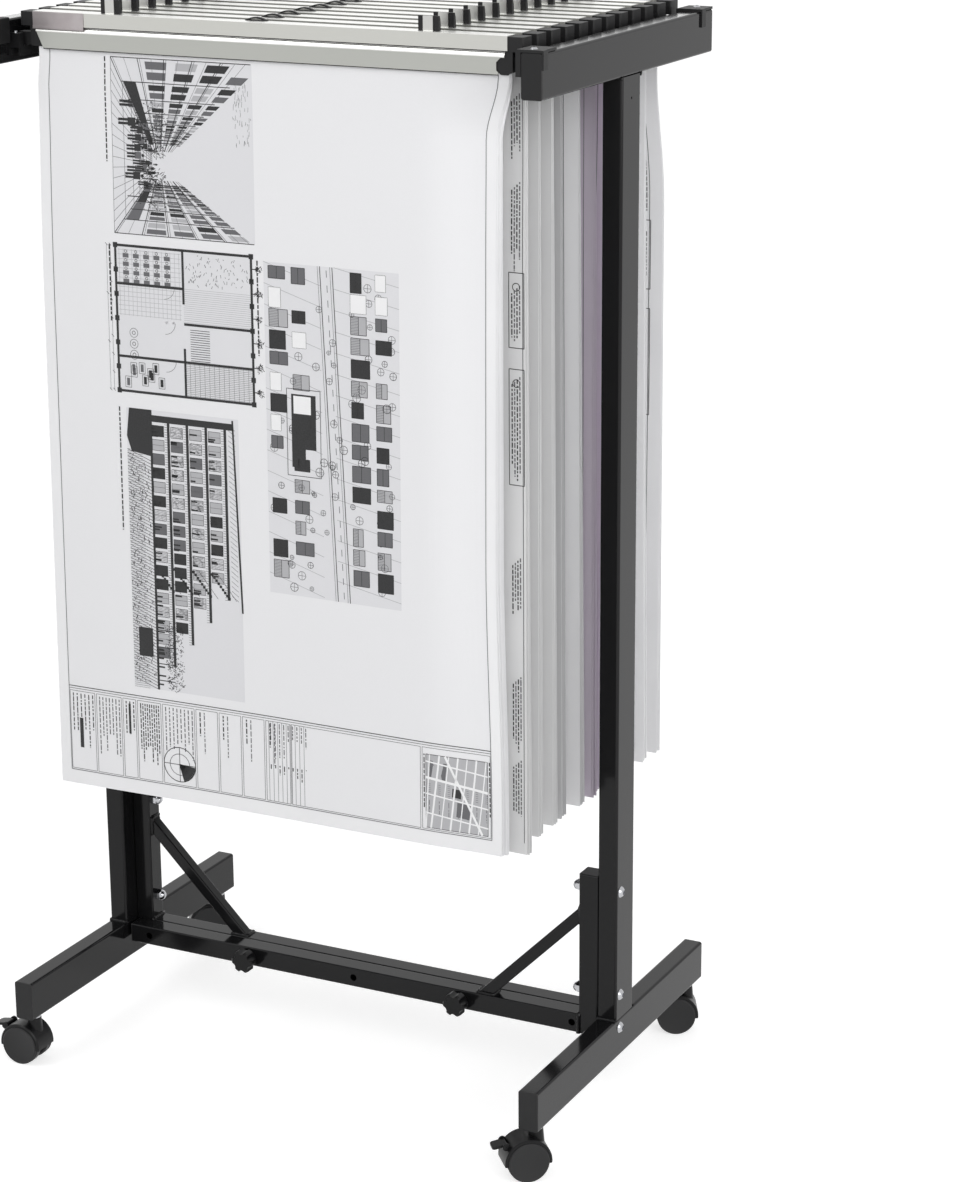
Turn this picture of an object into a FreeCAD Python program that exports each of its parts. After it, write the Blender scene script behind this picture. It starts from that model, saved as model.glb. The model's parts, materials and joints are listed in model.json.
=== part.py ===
import FreeCAD, Part
import math
import os

# Plan hanging rack: two welded side frames on casters, joined by two sliding
# cross frames, with twelve clamps that hang between the arms.
# +X is the user's right, +Y points to the rear and the floor is z = 0.
# All sizes are in millimetres.

Vector = FreeCAD.Vector
X = Vector(1, 0, 0)
Y = Vector(0, 1, 0)
Z = Vector(0, 0, 1)
CENTRE = Vector(0, 0, 0)
past = 1.0                 # how far a cutting tool runs past the face it cuts

# ---- driving dimensions: whole rack --------------------------------------
arm_top = 1305.0           # floor to the top of the arms
foot_past_arm = 13.0       # feet are longer than the arms at each end
tongue_side_gap = 8.0      # clamp's tongue to the arm's inner face
caster_height = 65.0       # floor to the underside of the feet
outline_shift_x = 15.0     # moves the origin under the middle of the outline,
outline_shift_y = 8.6      # because the parked casters stick out unevenly

# ---- driving dimensions: side frame tube ---------------------------------
tube_thin = 25.0           # across the rack
tube_deep = 50.0
tube_wall = 2.0
tube_corner = 3.0
vent_radius = 1.5          # drain hole high in each post
vent_below_arm = 25.0

# ---- driving dimensions: cross frames ------------------------------------
bar_size = 25.0            # square crossbar and upright
bar_wall = 1.5
bar_corner = 2.0
bar_gap = 0.3              # between the two crossbars
bar_end_gap = 6.0          # crossbar's free end to the far foot
upright_rise = 235.0       # underside of the foot to the upright's cap
brace_size = 15.0
brace_leg = 140.0          # along the crossbar and up the upright
hole_pitch = 152.4         # width settings
hole_radius = 4.5

# ---- driving dimensions: plugs -------------------------------------------
plug_lip = 2.0
plug_edge = 0.8
plug_insert = 5.0
plug_fit = 0.2

# ---- driving dimensions: frame bolts -------------------------------------
bolt_radius = 4.0
bolt_hole_radius = 4.2
head_radius = 7.0
head_height = 4.2
socket_width = 0.8         # hex socket across flats, of the head's radius
socket_depth = 0.5         # of the head's height
nut_width = 13.0           # across flats
nut_height = 6.5
dome_height = 6.0
post_bolt_rises = (81.0, 215.0)   # above the underside of the foot
foot_bolt_rise = 37.5

# ---- driving dimensions: stop clips on the arms --------------------------
clip_length = 36.0
clip_plate = 3.0
clip_inner_leg = 6.0
clip_inner_drop = 26.0     # below the top of the arm
clip_outer_leg = 2.0
clip_outer_drop = 18.0
clip_outer_length = 11.0
clip_corner = 1.5
clip_screws = (10.0, 22.0)  # from each clip's front edge: front clip, rear clip
clip_screw_x = 14.0        # from the arm's outer face
screw_radius = 2.0
screw_head_radius = 4.0
screw_head_height = 2.4
screw_past = 2.0           # screw's tip past the tube's wall

# ---- driving dimensions: runner inside each arm --------------------------
runner_width = 17.0
runner_height = 12.0
runner_wall = 3.0
runner_drop = 29.3         # top of the arm to the top of the runner
runner_start = 40.0        # behind the arm's front end
stop_rise = 14.0
stop_depth = 7.0
rear_stop_depth = 4.5
clip_to_stop = 0.3
stop_screw_radius = 2.8

# ---- driving dimensions: clamp -------------------------------------------
clamp_count = 12
clamp_pitch = 36.0
first_clamp = 40.0         # front face of the first clamp, behind the arm's end
last_clamp = 6.0           # rear face of the last clamp, before the arm's end
sheet_past_clamp = 1.5     # sheets are wider than the clamp at each end
clamp_depth = 22.0
clamp_wall = 1.6
channel_height = 17.0
channel_setback = 0.8
channel_lip = 2.6
bead_height = 6.0
bead_nose = 1.5            # upright part of the bead, below its slope
bead_back = 2.6            # how far the bead slopes back
groove_height = 0.8        # groove between bead and channel
groove_back = 3.2
groove_web = 1.4           # metal round the groove
sheet_past_jaw = 1.0       # sheets reach above the jaws
jaw_height = 19.5
jaw_setback = 1.2
jaw_plate = 2.2
jaw_lip = 2.0
jaw_end_cut = 9.0          # how far the jaws' slanted ends run in
jaw_end_back = 3.5         # jaws are shorter than the channel at each end
notch_width = 18.6         # eight-sided notch in the front jaw's right end
notch_corner = 5.0
notch_inset = 4.2          # its middle, inside the clamp's end
notch_rise = 9.8           # its middle, above the jaw's lower edge
rear_jaw_wall = 1.4
rear_jaw_depth = 10.5
rear_jaw_foot = 5.0
rear_jaw_relief = 0.6      # only the jaw's lip touches the sheets
paper_front = 4.0          # clamp's front face to the bundle
paper_thickness = 5.0
end_block_width = 18.5
end_block_front = 2.0      # behind the clamp's front face
end_block_rear = 2.0       # past the channel's rear face
end_block_drop = 1.0       # below the channel's top
end_block_corner = 1.5
end_insert = 12.0
end_cap_width = 9.0        # past the jaws' ends
end_corner = 3.0
cap_recess = 1.4           # caps lie behind the jaw's face
end_fit = 0.2
tongue_length = 22.0
tongue_depth = 11.5
tongue_height = 15.0
tongue_rise = 2.5          # jaws' lower edge to the underside of the tongues
tongue_setback = 9.5
tongue_corner = 1.0
hang_gap = 0.3             # tongue to runner
grip_x = 204.0
grip_width = 25.0
grip_height = 16.0
grip_front = 10.5
grip_depth = 5.0
grip_top_depth = 3.0
grip_shoulder = 12.0       # height where the grip's back starts to slope
grip_shoulder_cut = 0.8
grip_belly = 5.0           # height where the grip's back is deepest
grip_plate_width = 12.0
grip_plate = 1.5
spring_width = 28.0
spring_height = 4.2
spring_strip = 1.6
spring_base = 0.8
spring_depth = 4.0
spring_x = -16.0
spring_y = 19.0

# ---- driving dimensions: sheets ------------------------------------------
sheet_width = 610.0
sheet_height = 914.0

# ---- driving dimensions: knobs -------------------------------------------
knob_radius = 15.0
knob_lobes = 6
knob_scallop = 5.0
knob_scallop_depth = 4.0
knob_head = 15.0
knob_edge = 2.0
knob_hub_radius = 9.0
knob_hub = 6.5
knob_gap = 0.3
stud_radius = 4.0
stud_tip_gap = 1.0         # short of the other crossbar

# ---- driving dimensions: casters -----------------------------------------
caster_inset = 22.0        # stem to the end of the foot
wheel_radius = 25.0
wheel_trail = 13.0
wheel_inner = 6.4
wheel_outer = 16.0
wheel_edge = 1.5
wheel_dish = 1.0
wheel_dish_inner = 8.0
wheel_dish_outer = 19.0
axle_radius = 3.0
axle_fit = 0.05
hood_clearance = 1.0
hood_wall = 2.5
hood_side_gap = 0.4
hood_side = 1.6
hood_rim = 1.4
hood_below_axle = 3.0
web_half = 6.0
boss_radius = 6.0
tower_radius = 11.0
tower_top_radius = 8.5
tower_gap = 0.5            # hood to the stem's collar
stem_radius = 4.0
stem_fit = 0.05
stem_depth = 31.0          # of stem inside the hood
stem_collar_radius = 8.0
stem_collar = 4.0
stem_thread_radius = 5.0
stem_thread = 14.0
stem_hole_fit = 0.3
lever_angle = 38.0         # pivot's place round the hood
lever_offset = 3.7         # pivot outside the hood's shell
lever_width = 16.0
lever_length = 16.0
lever_thick = 3.5
lever_corner = 4.0
lever_droop = 10.0
lever_barrel = 3.0
lever_pin = 1.5
lever_pin_fit = 0.05
lever_side_gap = 0.3
ear_thick = 2.7
ear_radius = 4.6
caster_angles = {
    "front_left": -179.0,
    "front_right": -139.5,
    "rear_left": -145.0,
    "rear_right": -152.7,
}

# ---- sizes worked out from the sheets and the clamps ----------------------
clamp_length = sheet_width - 2 * sheet_past_clamp
arm_length = first_clamp + (clamp_count - 1) * clamp_pitch + clamp_depth + last_clamp
foot_length = arm_length + 2 * foot_past_arm
cap_end = clamp_length / 2 - jaw_end_back + end_cap_width
tongue_end = cap_end + tongue_length
rack_width = 2 * (tongue_end + tongue_side_gap + tube_thin)

# ---- places worked out from the sizes ------------------------------------
side_x = rack_width / 2 - tube_thin / 2
inner_x = rack_width / 2 - tube_thin
foot_top = caster_height + tube_deep
arm_bottom = arm_top - tube_deep
bar_bottom = foot_top - bar_size
bar_y = -(bar_gap + bar_size) / 2
upright_x = inner_x - bar_size / 2
weld_x = inner_x - bar_size
upright_top = caster_height + upright_rise
runner_top = arm_top - runner_drop
arm_front = -arm_length / 2
runner_front = arm_front + runner_start
jaw_bottom = runner_top + hang_gap - tongue_rise
channel_bottom = jaw_bottom + jaw_height + bead_height
channel_top = channel_bottom + channel_height
sheet_top = jaw_bottom + jaw_height + sheet_past_jaw
shell_radius = wheel_radius + hood_clearance + hood_wall
hood_half = wheel_outer + hood_side_gap + hood_side
foot_end = foot_length / 2


def box(x0, x1, y0, y1, z0, z1):
    """A box between two corners."""
    return Part.makeBox(x1 - x0, y1 - y0, z1 - z0, Vector(x0, y0, z0))


def prism(points, run):
    """A closed outline swept along the vector run."""
    return Part.Face(Part.makePolygon(points + points[:1])).extrude(run)


def rounded_bar(width, depth, length, corner):
    """A bar along +Z from the origin, with its four long edges rounded."""
    bar = Part.makeBox(width, depth, length, Vector(-width / 2, -depth / 2, 0))
    long_edges = [e for e in bar.Edges if abs(e.Vertexes[0].Z - e.Vertexes[1].Z) > length / 2]
    return bar.makeFillet(corner, long_edges)


def tube(width, depth, length, wall, corner):
    """A rectangular tube along +Z from the origin."""
    outer = rounded_bar(width, depth, length, corner)
    inner = rounded_bar(width - 2 * wall, depth - 2 * wall, length, corner - wall / 2)
    return outer.cut(inner)


def along_y(shape):
    """Turns what runs along +Z so that it runs along +Y."""
    shape.rotate(CENTRE, X, -90)
    return shape


def along_x(shape):
    """Turns what runs along +Z so that it runs along +X."""
    shape.rotate(CENTRE, Y, 90)
    return shape


def moved(shape, x, y, z):
    """A copy of a shape, moved."""
    copy = shape.copy()
    copy.translate(Vector(x, y, z))
    return copy


def turned(shape, angle):
    """A copy of a shape, turned about the vertical axis."""
    copy = shape.copy()
    copy.rotate(CENTRE, Z, angle)
    return copy


def left_of(shape):
    """The mirror image of a right-hand shape."""
    return shape.mirror(CENTRE, X)


# ---- side frame -----------------------------------------------------------
def side_frame(bolt_y):
    """Right-hand foot, post and arm, welded, with its bolt holes at y = bolt_y."""
    foot_tube = foot_length - 2 * plug_lip
    arm_tube = arm_length - 2 * plug_lip
    post_length = arm_bottom - foot_top
    foot = along_y(tube(tube_thin, tube_deep, foot_tube, tube_wall, tube_corner))
    foot.translate(Vector(side_x, -foot_tube / 2, foot_top - tube_deep / 2))
    arm = along_y(tube(tube_thin, tube_deep, arm_tube, tube_wall, tube_corner))
    arm.translate(Vector(side_x, -arm_tube / 2, arm_top - tube_deep / 2))
    post = tube(tube_thin, tube_deep, post_length, tube_wall, tube_corner)
    post.translate(Vector(side_x, 0, foot_top))
    frame = foot.fuse([post, arm])
    for rise in post_bolt_rises + (foot_bolt_rise,):
        start = Vector(inner_x - past, bolt_y, caster_height + rise)
        frame = frame.cut(Part.makeCylinder(bolt_hole_radius, tube_thin + 2 * past, start, X))
    vent = Vector(side_x, 0, arm_bottom - vent_below_arm)
    frame = frame.cut(Part.makeCylinder(vent_radius, tube_thin, vent, X))
    for end in (-1, 1):
        stem = Vector(side_x, end * (foot_end - caster_inset), caster_height - past)
        hole = stem_thread_radius + stem_hole_fit
        frame = frame.cut(Part.makeCylinder(hole, tube_wall + 2 * past, stem, Z))
    for y in clip_screw_places():
        start = Vector(clip_screw_line(), y, arm_top - tube_wall - past)
        frame = frame.cut(Part.makeCylinder(screw_radius, tube_wall + 2 * past, start, Z))
    return frame


# ---- cross frame ----------------------------------------------------------
def cross_frame():
    """Right-hand upright with its crossbar and brace, welded."""
    upright = tube(bar_size, bar_size, upright_top - plug_lip - bar_bottom, bar_wall, bar_corner)
    upright.translate(Vector(upright_x, bar_y, bar_bottom))
    bar_start = -inner_x + bar_end_gap + plug_lip
    bar = along_x(tube(bar_size, bar_size, weld_x - bar_start, bar_wall, bar_corner))
    bar.translate(Vector(bar_start, bar_y, foot_top - bar_size / 2))
    for step in range(-2, 3):
        start = Vector(step * hole_pitch, bar_y - bar_size, foot_top - bar_size / 2)
        bar = bar.cut(Part.makeCylinder(hole_radius, 2 * bar_size, start, Y))
    for rise in post_bolt_rises + (foot_bolt_rise,):
        start = Vector(weld_x - past, bar_y, caster_height + rise)
        upright = upright.cut(Part.makeCylinder(bolt_hole_radius, bar_size + 2 * past, start, X))
    return upright.fuse([bar, brace()])


def brace():
    """Square tube at 45 degrees, its ends cut flush to the upright and the bar."""
    long = 2 * brace_leg
    rod = tube(brace_size, brace_size, long, bar_wall, bar_corner)
    rod.translate(Vector(0, 0, -long / 2))
    rod.rotate(CENTRE, Y, 45)
    drop = brace_size / 2 * math.sqrt(2)
    rod.translate(Vector(weld_x - brace_leg / 2, bar_y, foot_top + brace_leg / 2 - drop))
    room = box(weld_x - 2 * brace_leg, weld_x, bar_y - bar_size, bar_y + bar_size,
               foot_top, foot_top + 2 * brace_leg)
    return rod.common(room)


# ---- plugs ----------------------------------------------------------------
def plug(width, depth, wall, corner):
    """End plug: a lip at z = 0 to plug_lip and an insert below it."""
    lip = rounded_bar(width, depth, plug_lip, corner)
    rim = [e for e in lip.Edges if all(v.Z > plug_lip / 2 for v in e.Vertexes)]
    lip = lip.makeChamfer(plug_edge, rim)
    inner = 2 * (wall + plug_fit)
    insert = rounded_bar(width - inner, depth - inner, plug_insert, corner - wall / 2)
    insert.translate(Vector(0, 0, -plug_insert))
    return lip.fuse(insert)


def tube_plugs():
    """Right-hand plugs: foot and arm ends, upright top and crossbar end."""
    big = along_y(plug(tube_thin, tube_deep, tube_wall, tube_corner))
    small = plug(bar_size, bar_size, bar_wall, bar_corner)
    plugs = []
    for length, middle in ((foot_length, foot_top - tube_deep / 2), (arm_length, arm_top - tube_deep / 2)):
        rear = moved(big, 0, length / 2 - plug_lip, 0)
        plugs.append(moved(rear, side_x, 0, middle))
        plugs.append(moved(turned(rear, 180), side_x, 0, middle))
    plugs.append(moved(small, upright_x, bar_y, upright_top - plug_lip))
    end = turned(along_x(small.copy()), 180)
    plugs.append(moved(end, -inner_x + bar_end_gap + plug_lip, bar_y, foot_top - bar_size / 2))
    return plugs


# ---- bolts, nuts, screws and stems ---------------------------------------
def button_head(radius, height, shank_radius, shank):
    """A domed head above z = 0 with a hex socket, and its shank below."""
    dome_radius = (radius ** 2 + height ** 2) / (2 * height)
    ball = Part.makeSphere(dome_radius, Vector(0, 0, height - dome_radius))
    head = Part.makeCylinder(radius, height, CENTRE, Z).common(ball)
    head = head.cut(hexagon(radius * socket_width, height, height * (1 - socket_depth)))
    return head.fuse(Part.makeCylinder(shank_radius, shank, Vector(0, 0, -shank), Z))


def hexagon(width, height, bottom):
    """A hexagonal bar on the Z axis, width across its flats."""
    corners = []
    for step in range(6):
        turn = math.radians(60 * step)
        reach = width / math.sqrt(3)
        corners.append(Vector(reach * math.cos(turn), reach * math.sin(turn), bottom))
    return prism(corners, Vector(0, 0, height))


def acorn_nut():
    """A domed nut on z = 0 that closes over the end of its bolt."""
    dome_radius = nut_width / 2
    ball = Part.makeSphere(dome_radius, Vector(0, 0, nut_height + dome_height - dome_radius))
    room = Part.makeCylinder(dome_radius, dome_height, Vector(0, 0, nut_height), Z)
    return hexagon(nut_width, nut_height, 0).fuse(ball.common(room))


def caster_stem():
    """Stem about z = 0 at the underside of the foot, thread up and pin down."""
    thread = Part.makeCylinder(stem_thread_radius, stem_thread, CENTRE, Z)
    collar = Part.makeCylinder(stem_collar_radius, stem_collar, Vector(0, 0, -stem_collar), Z)
    reach = stem_collar + tower_gap + stem_depth
    pin = Part.makeCylinder(stem_radius, reach, Vector(0, 0, -reach), Z)
    return thread.fuse([collar, pin])


def frame_fasteners():
    """Right-hand bolts, nuts and caster stems."""
    pieces = []
    for rise in post_bolt_rises:
        bolt = along_x(button_head(head_radius, head_height, bolt_radius, tube_thin + bar_size))
        pieces.append(moved(bolt, rack_width / 2, bar_y, caster_height + rise))
        nut = turned(along_x(acorn_nut()), 180)
        pieces.append(moved(nut, weld_x, bar_y, caster_height + rise))
    bolt = along_x(button_head(head_radius, head_height, bolt_radius, tube_thin + bar_size / 2))
    pieces.append(moved(bolt, rack_width / 2, bar_y, caster_height + foot_bolt_rise))
    nut = hexagon(nut_width, nut_height, 0).cut(Part.makeCylinder(bolt_radius, nut_height, CENTRE, Z))
    nut = along_x(nut)
    pieces.append(moved(nut, inner_x - bar_wall - nut_height, bar_y, caster_height + foot_bolt_rise))
    for end in (-1, 1):
        pieces.append(moved(caster_stem(), side_x, end * (foot_end - caster_inset), caster_height))
    return pieces


def arm_screws():
    """Right-hand screws: two in the stop clips and one in the runner's stop."""
    pieces = []
    shank = clip_plate + tube_wall + screw_past
    screw = button_head(screw_head_radius, screw_head_height, screw_radius, shank)
    for y in clip_screw_places():
        pieces.append(moved(screw, clip_screw_line(), y, arm_top + clip_plate))
    small = button_head(stop_screw_radius, screw_head_height, screw_radius, stop_rise / 2)
    stop_y = runner_front + stop_depth / 2
    pieces.append(moved(small, inner_x - runner_width / 2, stop_y, runner_top + stop_rise))
    return pieces


# ---- stop clips -----------------------------------------------------------
def clip_starts():
    """Front edges of the front clip and the rear clip."""
    return (arm_front, arm_length / 2 - clip_length)


def clip_screw_places():
    """Places of the two clip screws along the arm."""
    return [start + place for start, place in zip(clip_starts(), clip_screws)]


def clip_screw_line():
    """Distance of the clip screws from the middle of the rack."""
    return rack_width / 2 - clip_screw_x


def stop_clip(start, screw_y):
    """Folded clip over the right arm, its front edge at y = start."""
    outer = rack_width / 2
    top = arm_top + clip_plate
    outline = [
        Vector(inner_x - clip_inner_leg, start, arm_top - clip_inner_drop),
        Vector(inner_x - clip_inner_leg, start, top),
        Vector(outer + clip_outer_leg, start, top),
        Vector(outer + clip_outer_leg, start, arm_top - clip_outer_drop),
        Vector(outer, start, arm_top - clip_outer_drop),
        Vector(outer, start, arm_top),
        Vector(inner_x, start, arm_top),
        Vector(inner_x, start, arm_top - clip_inner_drop),
    ]
    clip = prism(outline, Vector(0, clip_length, 0))
    folds = [e for e in clip.Edges if is_fold(e, top, clip_length)]
    clip = clip.makeFillet(clip_corner, folds)
    spare = box(outer, outer + 2 * clip_outer_leg, start + clip_outer_length, start + 2 * clip_length,
                arm_top - 2 * clip_outer_drop, top + past)
    place = Vector(clip_screw_line(), screw_y, arm_top - past)
    hole = Part.makeCylinder(screw_radius, clip_plate + 2 * past, place, Z)
    return clip.cut([spare, hole])


def is_fold(edge, height, length):
    """Whether an edge runs along Y at the given height."""
    ends = edge.Vertexes
    level = all(abs(v.Z - height) < 0.01 for v in ends)
    return level and abs(ends[0].Y - ends[1].Y) > length / 2


# ---- runner ---------------------------------------------------------------
def runner():
    """Channel section inside the right arm that carries the clamps."""
    face = inner_x - runner_width
    rear = arm_length / 2
    bar = box(face, inner_x, runner_front, rear, runner_top - runner_height, runner_top)
    hollow = box(face + runner_wall, inner_x - runner_wall, runner_front - past, rear + past,
                 runner_top - runner_height - past, runner_top - runner_wall)
    front_stop = box(face, inner_x, runner_front, runner_front + stop_depth,
                     runner_top, runner_top + stop_rise)
    screw = Vector(inner_x - runner_width / 2, runner_front + stop_depth / 2, runner_top + stop_rise / 2)
    front_stop = front_stop.cut(Part.makeCylinder(screw_radius, stop_rise, screw, Z))
    rear_stop = box(face, inner_x - clip_inner_leg - clip_to_stop, rear - rear_stop_depth, rear,
                    runner_top, runner_top + stop_rise)
    return bar.cut(hollow).fuse([front_stop, rear_stop])


# ---- clamp ----------------------------------------------------------------
def front_extrusion():
    """Channel, bead and front jaw in one aluminium section along X."""
    back = clamp_depth
    jaw_top = jaw_bottom + jaw_height
    groove = channel_bottom - groove_height
    outline = [
        (jaw_setback, jaw_bottom),
        (jaw_setback, jaw_top),
        (0, jaw_top),
        (0, jaw_top + bead_nose),
        (bead_back, groove),
        (groove_back, groove),
        (groove_back, channel_bottom),
        (channel_setback, channel_bottom),
        (channel_setback, channel_top),
        (back, channel_top),
        (back, channel_bottom),
        (back - channel_lip, channel_bottom),
        (back - channel_lip, channel_bottom + clamp_wall),
        (back - clamp_wall, channel_bottom + clamp_wall),
        (back - clamp_wall, channel_top - clamp_wall),
        (channel_setback + clamp_wall, channel_top - clamp_wall),
        (channel_setback + clamp_wall, channel_bottom + groove_web),
        (groove_back + groove_web, channel_bottom + groove_web),
        (groove_back + groove_web, groove - groove_web),
        (jaw_setback + jaw_plate, groove - 2 * groove_web),
        (jaw_setback + jaw_plate, jaw_bottom + jaw_lip),
        (paper_front, jaw_bottom + jaw_lip),
        (paper_front, jaw_bottom),
    ]
    return section_along_x(outline)


def rear_jaw():
    """Hollow rear jaw of the clamp."""
    front = paper_front + paper_thickness
    wall = rear_jaw_wall
    top = jaw_bottom + jaw_height
    shell = section_along_x([
        (front, jaw_bottom),
        (front, jaw_bottom + jaw_lip),
        (front + rear_jaw_relief, jaw_bottom + jaw_lip),
        (front + rear_jaw_relief, top),
        (front + rear_jaw_depth, top),
        (front + rear_jaw_depth, jaw_bottom + jaw_height / 2),
        (front + rear_jaw_foot, jaw_bottom),
    ])
    hollow = section_along_x([
        (front + rear_jaw_relief + wall, jaw_bottom + jaw_lip + wall),
        (front + rear_jaw_relief + wall, top - wall),
        (front + rear_jaw_depth - wall, top - wall),
        (front + rear_jaw_depth - wall, jaw_bottom + jaw_height / 2 + wall / 2),
        (front + rear_jaw_foot, jaw_bottom + jaw_lip + wall),
    ])
    return shell.cut(hollow)


def section_along_x(outline):
    """A section in Y and Z swept over the clamp's length."""
    start = -clamp_length / 2
    return prism([Vector(start, y, z) for y, z in outline], Vector(clamp_length, 0, 0))


def jaw_end_outline(reach, y):
    """Slanted jaw end, from its edge out to x = reach."""
    end = clamp_length / 2 - jaw_end_back
    top = jaw_bottom + jaw_height + bead_height
    return [
        Vector(end, y, top),
        Vector(end, y, jaw_bottom + jaw_height),
        Vector(end - jaw_end_cut, y, jaw_bottom),
        Vector(end - jaw_end_cut, y, jaw_bottom - past),
        Vector(reach, y, jaw_bottom - past),
        Vector(reach, y, top),
    ]


def notch(front):
    """Eight-sided block of the front jaw's right end, from y = front back to the sheets."""
    middle_x = clamp_length / 2 - notch_inset
    middle_z = jaw_bottom + notch_rise
    far = notch_width / 2
    near = far - notch_corner
    ring = ((far, -near), (far, near), (near, far), (-near, far),
            (-far, near), (-far, -near), (-near, -far), (near, -far))
    outline = [Vector(middle_x + dx, front, middle_z + dz) for dx, dz in ring]
    return prism(outline, Vector(0, paper_front - front, 0))


def clamp_rail():
    """Both jaws with their cut ends, and the two light finger plates."""
    waste = prism(jaw_end_outline(clamp_length, -past), Vector(0, clamp_depth + 2 * past, 0))
    waste = waste.fuse(left_of(waste))
    pieces = [front_extrusion().cut([waste, notch(-past)]), rear_jaw().cut(waste)]
    for side in (-1, 1):
        x = side * grip_x - grip_plate_width / 2
        pieces.append(box(x, x + grip_plate_width, grip_front - grip_plate, grip_front,
                          channel_top, channel_top + grip_height))
    return pieces


def end_fitting(notched):
    """Moulded right-hand end: block on the channel and cap over the jaws."""
    end = clamp_length / 2
    block = box(end, end + end_block_width, end_block_front, clamp_depth + end_block_rear,
                channel_bottom, channel_top - end_block_drop)
    outer_edges = [e for e in block.Edges if is_upright(e) and e.Vertexes[0].X > end]
    block = block.makeChamfer(end_block_corner, outer_edges)
    inner = channel_setback + clamp_wall + end_fit
    insert = box(end - end_insert, end, inner, clamp_depth - clamp_wall - end_fit,
                 channel_bottom + clamp_wall + end_fit, channel_top - clamp_wall - end_fit)
    cap_front = jaw_setback + cap_recess
    cap_depth = paper_front + paper_thickness + rear_jaw_depth - cap_front
    cap = prism(jaw_end_outline(cap_end, cap_front), Vector(0, cap_depth, 0))
    low = jaw_bottom + tongue_rise
    cap = cap.cut(box(0, 2 * end, 0, 2 * clamp_depth, jaw_bottom - 2 * past, low))
    corner = [e for e in cap.Edges if all(v.X > cap_end - past and v.Z < low + past for v in e.Vertexes)]
    cap = cap.makeFillet(end_corner, corner)
    if notched:
        cap = cap.fuse(notch(cap_front))
    gap = box(0, 2 * end, paper_front - end_fit, paper_front + paper_thickness + end_fit,
              jaw_bottom - past, sheet_top + end_fit)
    return block.fuse([insert, cap.cut(gap)])


def is_upright(edge):
    """Whether an edge runs up and down."""
    ends = edge.Vertexes
    return abs(ends[0].Z - ends[1].Z) > past


def end_tongue():
    """Tongue that carries the clamp's right-hand end on the runner."""
    low = runner_top + hang_gap
    tongue = box(cap_end, tongue_end, tongue_setback, tongue_setback + tongue_depth,
                 low, low + tongue_height)
    tip = [e for e in tongue.Edges if all(v.X > cap_end for v in e.Vertexes)]
    return tongue.makeChamfer(tongue_corner, tip)


def grip():
    """Black finger grip behind its light plate, at the middle of the rack."""
    low = channel_top
    back = grip_front + grip_depth
    outline = [
        Vector(-grip_width / 2, grip_front, low),
        Vector(-grip_width / 2, grip_front, low + grip_height),
        Vector(-grip_width / 2, grip_front + grip_top_depth, low + grip_height),
        Vector(-grip_width / 2, back - grip_shoulder_cut, low + grip_shoulder),
        Vector(-grip_width / 2, back, low + grip_belly),
        Vector(-grip_width / 2, back, low),
    ]
    return prism(outline, Vector(grip_width, 0, 0))


def spring():
    """Arched spring strip and its base strip on top of the channel."""
    half = spring_width / 2
    arch_radius = (half ** 2 + spring_height ** 2) / (2 * spring_height)
    centre = Vector(spring_x, spring_y - spring_depth / 2, channel_top + spring_height - arch_radius)
    disc = Part.makeCylinder(arch_radius, spring_depth, centre, Y)
    disc = disc.cut(Part.makeCylinder(arch_radius - spring_strip, spring_depth, centre, Y))
    room = box(spring_x - half, spring_x + half, 0, clamp_depth, channel_top, channel_top + spring_height)
    base = box(spring_x - half, spring_x + half, spring_y - spring_depth / 2, spring_y + spring_depth / 2,
               channel_top, channel_top + spring_base)
    return disc.common(room).fuse(base)


def clamp_fittings():
    """Ends, tongues, grips and spring of one clamp."""
    tongue = end_tongue()
    pieces = [end_fitting(True), left_of(end_fitting(False)), tongue, left_of(tongue), spring()]
    for side in (-1, 1):
        pieces.append(moved(grip(), side * grip_x, 0, 0))
    return pieces


def clamp_sheets():
    """Bundle of drawing sheets held between the jaws."""
    return [box(-sheet_width / 2, sheet_width / 2, paper_front, paper_front + paper_thickness,
                sheet_top - sheet_height, sheet_top)]


# ---- knobs ----------------------------------------------------------------
def knob():
    """Lobed knob with its stud, about the Y axis, crossbar face at y = 0."""
    head_start = -(knob_gap + knob_hub)
    head = Part.makeCylinder(knob_radius, knob_head, Vector(0, head_start - knob_head, 0), Y)
    head = head.makeChamfer(knob_edge, [e for e in head.Edges if len(e.Vertexes) == 1])
    for lobe in range(knob_lobes):
        turn = math.radians(360 / knob_lobes * (lobe + 0.5))
        reach = knob_radius + knob_scallop - knob_scallop_depth
        start = Vector(reach * math.cos(turn), head_start - knob_head - past, reach * math.sin(turn))
        head = head.cut(Part.makeCylinder(knob_scallop, knob_head + 2 * past, start, Y))
    hub = Part.makeCylinder(knob_hub_radius, knob_hub, Vector(0, head_start, 0), Y)
    stud_length = bar_size - stud_tip_gap + knob_gap
    stud = Part.makeCylinder(stud_radius, stud_length, Vector(0, -knob_gap, 0), Y)
    return head.fuse([hub, stud])


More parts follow.
